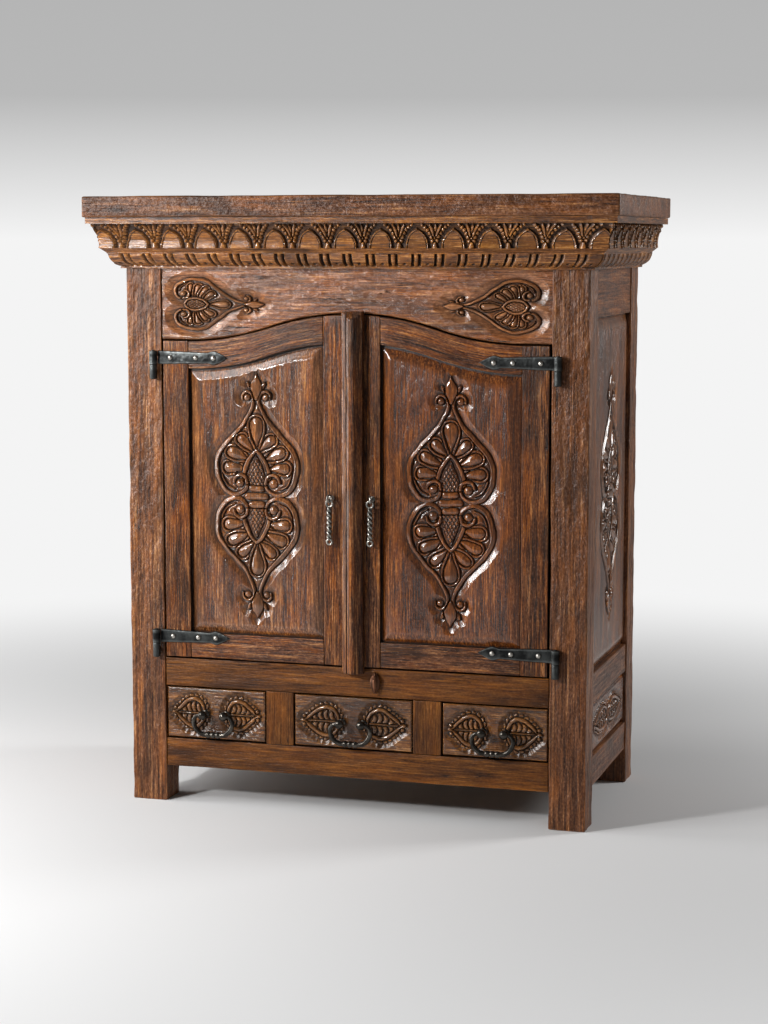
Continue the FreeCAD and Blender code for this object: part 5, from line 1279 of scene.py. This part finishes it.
def make_pull(side):
    sign = 1 if side == "right" else -1
    eye_node, pull_node = f"door_{side}_eye", f"door_{side}_pull"
    low, high = span(eye_node)
    pull_low, pull_high = span(pull_node)
    x, y, _ = (pull_low + pull_high) / 2
    eye_z = (low[Z] + high[Z]) / 2
    face = high[Y]
    work = Work()
    lean = (sign * math.sin(EYE_TURN), -math.cos(EYE_TURN), 0)
    wire(work, ring_path((x, y, eye_z), 9.5, lean, (0, 0, 1)), 2.8, closed=True, polish=0.35)
    turned(work, [(face, 8.0), (face - 1.4, 7.8), (face - 2.0, 6.8)], (x, 0, eye_z), Y, polish=0.3)
    turned(work, [(face - 1, 3.2), (face - 9, 2.5), (y + 7.6, 2.4)], (x, 0, eye_z), Y, polish=0.3)
    work.piece("forged_" + eye_node, "door_" + side, PULL_IRON, [eye_node])
    work = Work()
    link_z = pull_high[Z] - 11.5
    wire(work, ring_path((x, y, link_z), LINK_RADIUS, (1, 0, 0), (0, 0, 1)), 3.0, closed=True, polish=0.4)
    head, foot = link_z - LINK_RADIUS, pull_low[Z] + 16.0
    steps = np.linspace(0, 1, 150)
    neck = np.clip(np.minimum(steps, 1 - steps) / 0.06, 0.35, 1)
    turn = 2 * math.pi * steps * (head - foot) / TWIST_LEAD
    away = STRAND_AWAY * neck
    for strand in (0, math.pi):
        path = np.stack([x + away * np.cos(turn + strand), y + away * np.sin(turn + strand),
                         head + (foot - head) * steps], 1)
        wire(work, path, STRAND_RADIUS * (0.75 + 0.25 * neck), polish=0.3)
    wire(work, ring_path((x, y, pull_low[Z] + 9.8), 7.2, (1, 0, 0), (0, 0, 1)), 2.9, closed=True, polish=0.5)
    work.piece("forged_" + pull_node, "pull_" + side, PULL_IRON, [pull_node])


# Bails: a bar bent round at the shoulders and more widely below, three beads at its middle, and balls
# on the posts that it hangs from

BALL_RADIUS = 13.0
BEAD_RADIUS = 9.4
BEAD_PLACES = (-14.0, 0.0, 14.0)
POST_APART = 31.0
BAIL_HALF = 57.0
SHOULDER_BEND = 18.0
LOWER_BEND = 36.0


def ball(radius, count):
    """Profile of a ball."""
    turn = np.linspace(0, math.pi, count)
    return np.stack([-radius * np.cos(turn), np.maximum(radius * np.sin(turn), 0.4)], 1)


def make_bail(place):
    posts, node = f"drawer_{place}_eye_posts", f"drawer_{place}_bail"
    low, high = span(posts)
    bail_low, bail_high = span(node)
    middle = (low[X] + high[X]) / 2
    z = (low[Z] + high[Z]) / 2
    y = (bail_low[Y] + bail_high[Y]) / 2
    face = high[Y]
    work = Work()
    for x in (middle - POST_APART, middle + POST_APART):
        turned(work, [(face, 11.0), (face - 1.5, 10.8), (face - 3.2, 9.0), (face - 4.0, 6.6), (face - 6, 5.0),
                      (face - 10, 4.6), (face - 13.5, 5.0)], (x, 0, z), Y, polish=0.1)
        turned(work, ball(BALL_RADIUS, 17), (x, y, z), Y, polish=0.15)
    work.piece("forged_" + posts, "drawer_" + place, BAIL_IRON, [posts])
    work = Work()
    drop = z - (bail_low[Z] + 6.2)
    turn = np.linspace(0, math.pi / 2, 10)
    shoulder = np.stack([BAIL_HALF - SHOULDER_BEND + SHOULDER_BEND * np.sin(turn),
                         -SHOULDER_BEND + SHOULDER_BEND * np.cos(turn)], 1)
    lower = np.stack([BAIL_HALF - LOWER_BEND + LOWER_BEND * np.cos(turn),
                      -drop + LOWER_BEND - LOWER_BEND * np.sin(turn)], 1)
    half = np.concatenate([[(20.5, 0.0), (30.0, 0.0)], shoulder, lower, [(14.0, -drop), (7.0, -drop)]])
    path = np.concatenate([half, [[0.0, -drop]], half[::-1] * np.array([-1, 1])])
    thick = 6.8 - 1.2 * np.clip((path[:, 1] + drop - 20) / 30.0, 0, 1)
    points = np.stack([middle + path[:, 0], np.full(len(path), y), z + path[:, 1]], 1)
    wire(work, points, thick, sides=14, polish=0.15)
    for x in BEAD_PLACES:
        turned(work, ball(BEAD_RADIUS, 11), (middle + x, y, z - drop), X, sides=20, polish=0.3)
    work.piece("forged_" + node, "bail_" + place, BAIL_IRON, [node])


# The turn-button's section: share of its half width, and polish

BUTTON_PLAY = 0.6
BUTTON_SECTION = ((-1, 0), (-0.97, 0.4), (-0.5, 0.1), (-0.06, 0.8),
                  (0.06, 0.8), (0.5, 0.1), (0.97, 0.4), (1, 0))


def make_turn_button():
    """Almond of iron with a ridge, on its nail."""
    low, high = span("turn_button")
    x = (low[X] + high[X]) / 2
    length = high[Z] - low[Z]
    half = (high[X] - low[X]) / 2
    back = span("door_right_meeting_stile")[0][Y] - BUTTON_PLAY
    shares = np.linspace(0, 1, 33)
    wide = half * np.maximum(np.sin(math.pi * shares) ** 0.9, 0.03)
    sections = []
    for part, _ in BUTTON_SECTION:
        front = 4.0 + (back - low[Y] - 4.6) * (1 - abs(part)) * np.sin(math.pi * shares) ** 0.6
        depth = np.where(abs(part) > 0.98, 1.0, front)
        sections.append(np.stack([x + part * wide, back - depth, low[Z] + length * shares], 1))
    work = Work()
    flat_bar(work, np.stack(sections, 1), [polish for _, polish in BUTTON_SECTION])
    nail_low, nail_high = span("button_nail")
    centre = (x, 0, (nail_low[Z] + nail_high[Z]) / 2)
    turned(work, [(back - 2, 7.6), (high[Y], 7.9)], centre, Y, sides=20)
    work.piece("forged_turn_button", "turn_button", RUSTY_IRON, ["turn_button"], crease=22)
    front, end = nail_low[Y], nail_high[Y]
    work = Work()
    turned(work, [(front, 2.5), (front + 0.8, 4.8), (front + 2, 6.0), (front + 3, 5.8), (front + 3, 2.6),
                  (end - 3, 2.6), (end, 1.0)], centre, Y, sides=20, polish=0.5)
    work.piece("forged_button_nail", "carcass", RUSTY_IRON, ["button_nail"], crease=25)


make_carcass()
make_frieze()
make_cornice()
for side in ("right", "left"):
    make_door_frame(side)
    make_door_panel(side)
    make_side_panel(side)
    make_lower_side_panel(side)
    make_straps(side)
    make_nails(side)
    make_pull(side)
make_astragal()
make_pintles()
for seed, place in ((620, "left"), (640, "middle"), (660, "right")):
    make_drawer(place, seed)
    make_bail(place)
make_turn_button()


# Floor, light and camera: a low lamp to the left of the camera, a soft box high on the left, a strip
# far to the left that catches the bevels, and a soft box behind to the right for that side. Glossy
# faces see the backdrop dimmer than the camera does, as in a studio where only the paper behind the
# object is lit. Each lamp has its place, its size and its power.

BACKDROP = ((0.0, "#f4f4f4"), (1.0, "#505050"), (0.062, "#b8b8b8"))
GLOSSY_SHARE = 0.16
FLOOR_RADIUS = 40.0
FLOOR_SIDES = 96
LAMP_AIM = (0.0, 0.0, 0.95)
LAMPS = {
    "key": ((-1.9, -2.7, 1.75), (0.3, 0.3), 68.0),
    "soft_box": ((-2.5, -2.2, 2.5), (1.55, 1.55), 66.0),
    "strip": ((-3.3, -0.6, 1.1), (0.9, 1.9), 66.0),
    "side": ((3.1, 1.5, 2.0), (0.9, 1.6), 62.0),
}


def make_studio():
    ring = [(FLOOR_RADIUS * math.cos(turn), FLOOR_RADIUS * math.sin(turn), 0.0)
            for turn in around(FLOOR_SIDES)]
    disc = bpy.data.meshes.new("studio_floor")
    disc.from_pydata(ring, [], [list(range(FLOOR_SIDES))])
    floor = bpy.data.objects.new("studio_floor", disc)
    bpy.context.scene.collection.objects.link(floor)
    material, paper, shader = new_finish("studio_paper")
    shader.inputs["Roughness"].default_value = 0.9
    shader.inputs["Base Color"].default_value = linear("#dedede")
    world = bpy.data.worlds.new("studio_air")
    world.use_nodes = True
    air = world.node_tree
    air.nodes.clear()
    shown = {}
    for tree in (paper, air):
        ray = add_node(tree, "ShaderNodeLightPath").outputs
        straight = add_node(tree, "ShaderNodeMath", {0: ray["Is Camera Ray"], 1: ray["Is Transmission Ray"]},
                            operation="MAXIMUM").outputs[0]
        shown[tree] = add_node(tree, "ShaderNodeMath", {
            0: ray["Is Glossy Ray"], 1: GLOSSY_SHARE, 2: straight},
            operation="MULTIPLY_ADD", use_clamp=True).outputs[0]
    place = add_node(paper, "ShaderNodeNewGeometry").outputs["Position"]
    away = add_node(paper, "ShaderNodeVectorMath", {0: place}, operation="LENGTH").outputs["Value"]
    far = add_node(paper, "ShaderNodeMapRange", {"Value": away, "From Min": 0.9, "From Max": 3.8},
                   interpolation_type="SMOOTHSTEP").outputs[0]
    far = add_node(paper, "ShaderNodeMath", {0: far, 1: shown[paper]}, operation="MULTIPLY").outputs[0]
    plain = add_node(paper, "ShaderNodeEmission", {
        "Color": linear(BACKDROP[0][1]), "Strength": 1.0}).outputs[0]
    both = add_node(paper, "ShaderNodeMixShader", {0: far, 1: shader.outputs[0], 2: plain}).outputs[0]
    output = next(node for node in paper.nodes if node.type == "OUTPUT_MATERIAL")
    paper.links.new(both, output.inputs["Surface"])
    disc.materials.append(material)

    heading = add_node(air, "ShaderNodeTexCoord").outputs["Generated"]
    rise = add_node(air, "ShaderNodeSeparateXYZ", {0: heading}).outputs["Z"]
    sky = add_node(air, "ShaderNodeValToRGB", {"Fac": rise}, stops=BACKDROP).outputs["Color"]
    fill = add_node(air, "ShaderNodeBackground", {"Color": linear("#ffffff"), "Strength": 0.11}).outputs[0]
    backdrop = add_node(air, "ShaderNodeBackground", {"Color": sky, "Strength": 1.0}).outputs[0]
    both = add_node(air, "ShaderNodeMixShader", {0: shown[air], 1: fill, 2: backdrop}).outputs[0]
    add_node(air, "ShaderNodeOutputWorld", {"Surface": both})
    bpy.context.scene.world = world

    for name, (spot, size, power) in LAMPS.items():
        lamp = bpy.data.lights.new(name, "AREA")
        lamp.shape = "RECTANGLE"
        lamp.size, lamp.size_y = size
        lamp.energy = power
        stand = bpy.data.objects.new(name, lamp)
        stand.location = spot
        aim = Vector(LAMP_AIM) - Vector(spot)
        stand.rotation_euler = aim.to_track_quat("-Z", "Y").to_euler()
        bpy.context.scene.collection.objects.link(stand)


# The camera's focal length is in pixels of a frame 768 wide and 1024 high

SENSOR = 36.0
FRAME_HEIGHT = 1024
FOCAL_PIXELS = 2225
CAMERA_PLACE = (1.797, -5.947, 1.562)
CAMERA_DOWN = 7.0
CAMERA_TURN = 16.79


def make_camera():
    """Camera at the photograph's angle."""
    lens = bpy.data.cameras.new("camera")
    lens.sensor_width = SENSOR
    lens.lens = FOCAL_PIXELS * SENSOR / FRAME_HEIGHT
    camera = bpy.data.objects.new("camera", lens)
    camera.location = CAMERA_PLACE
    camera.rotation_euler = (math.radians(90 - CAMERA_DOWN), 0.0, math.radians(CAMERA_TURN))
    bpy.context.scene.collection.objects.link(camera)
    bpy.context.scene.camera = camera


make_studio()
make_camera()
bpy.context.scene.view_settings.view_transform = "Standard"
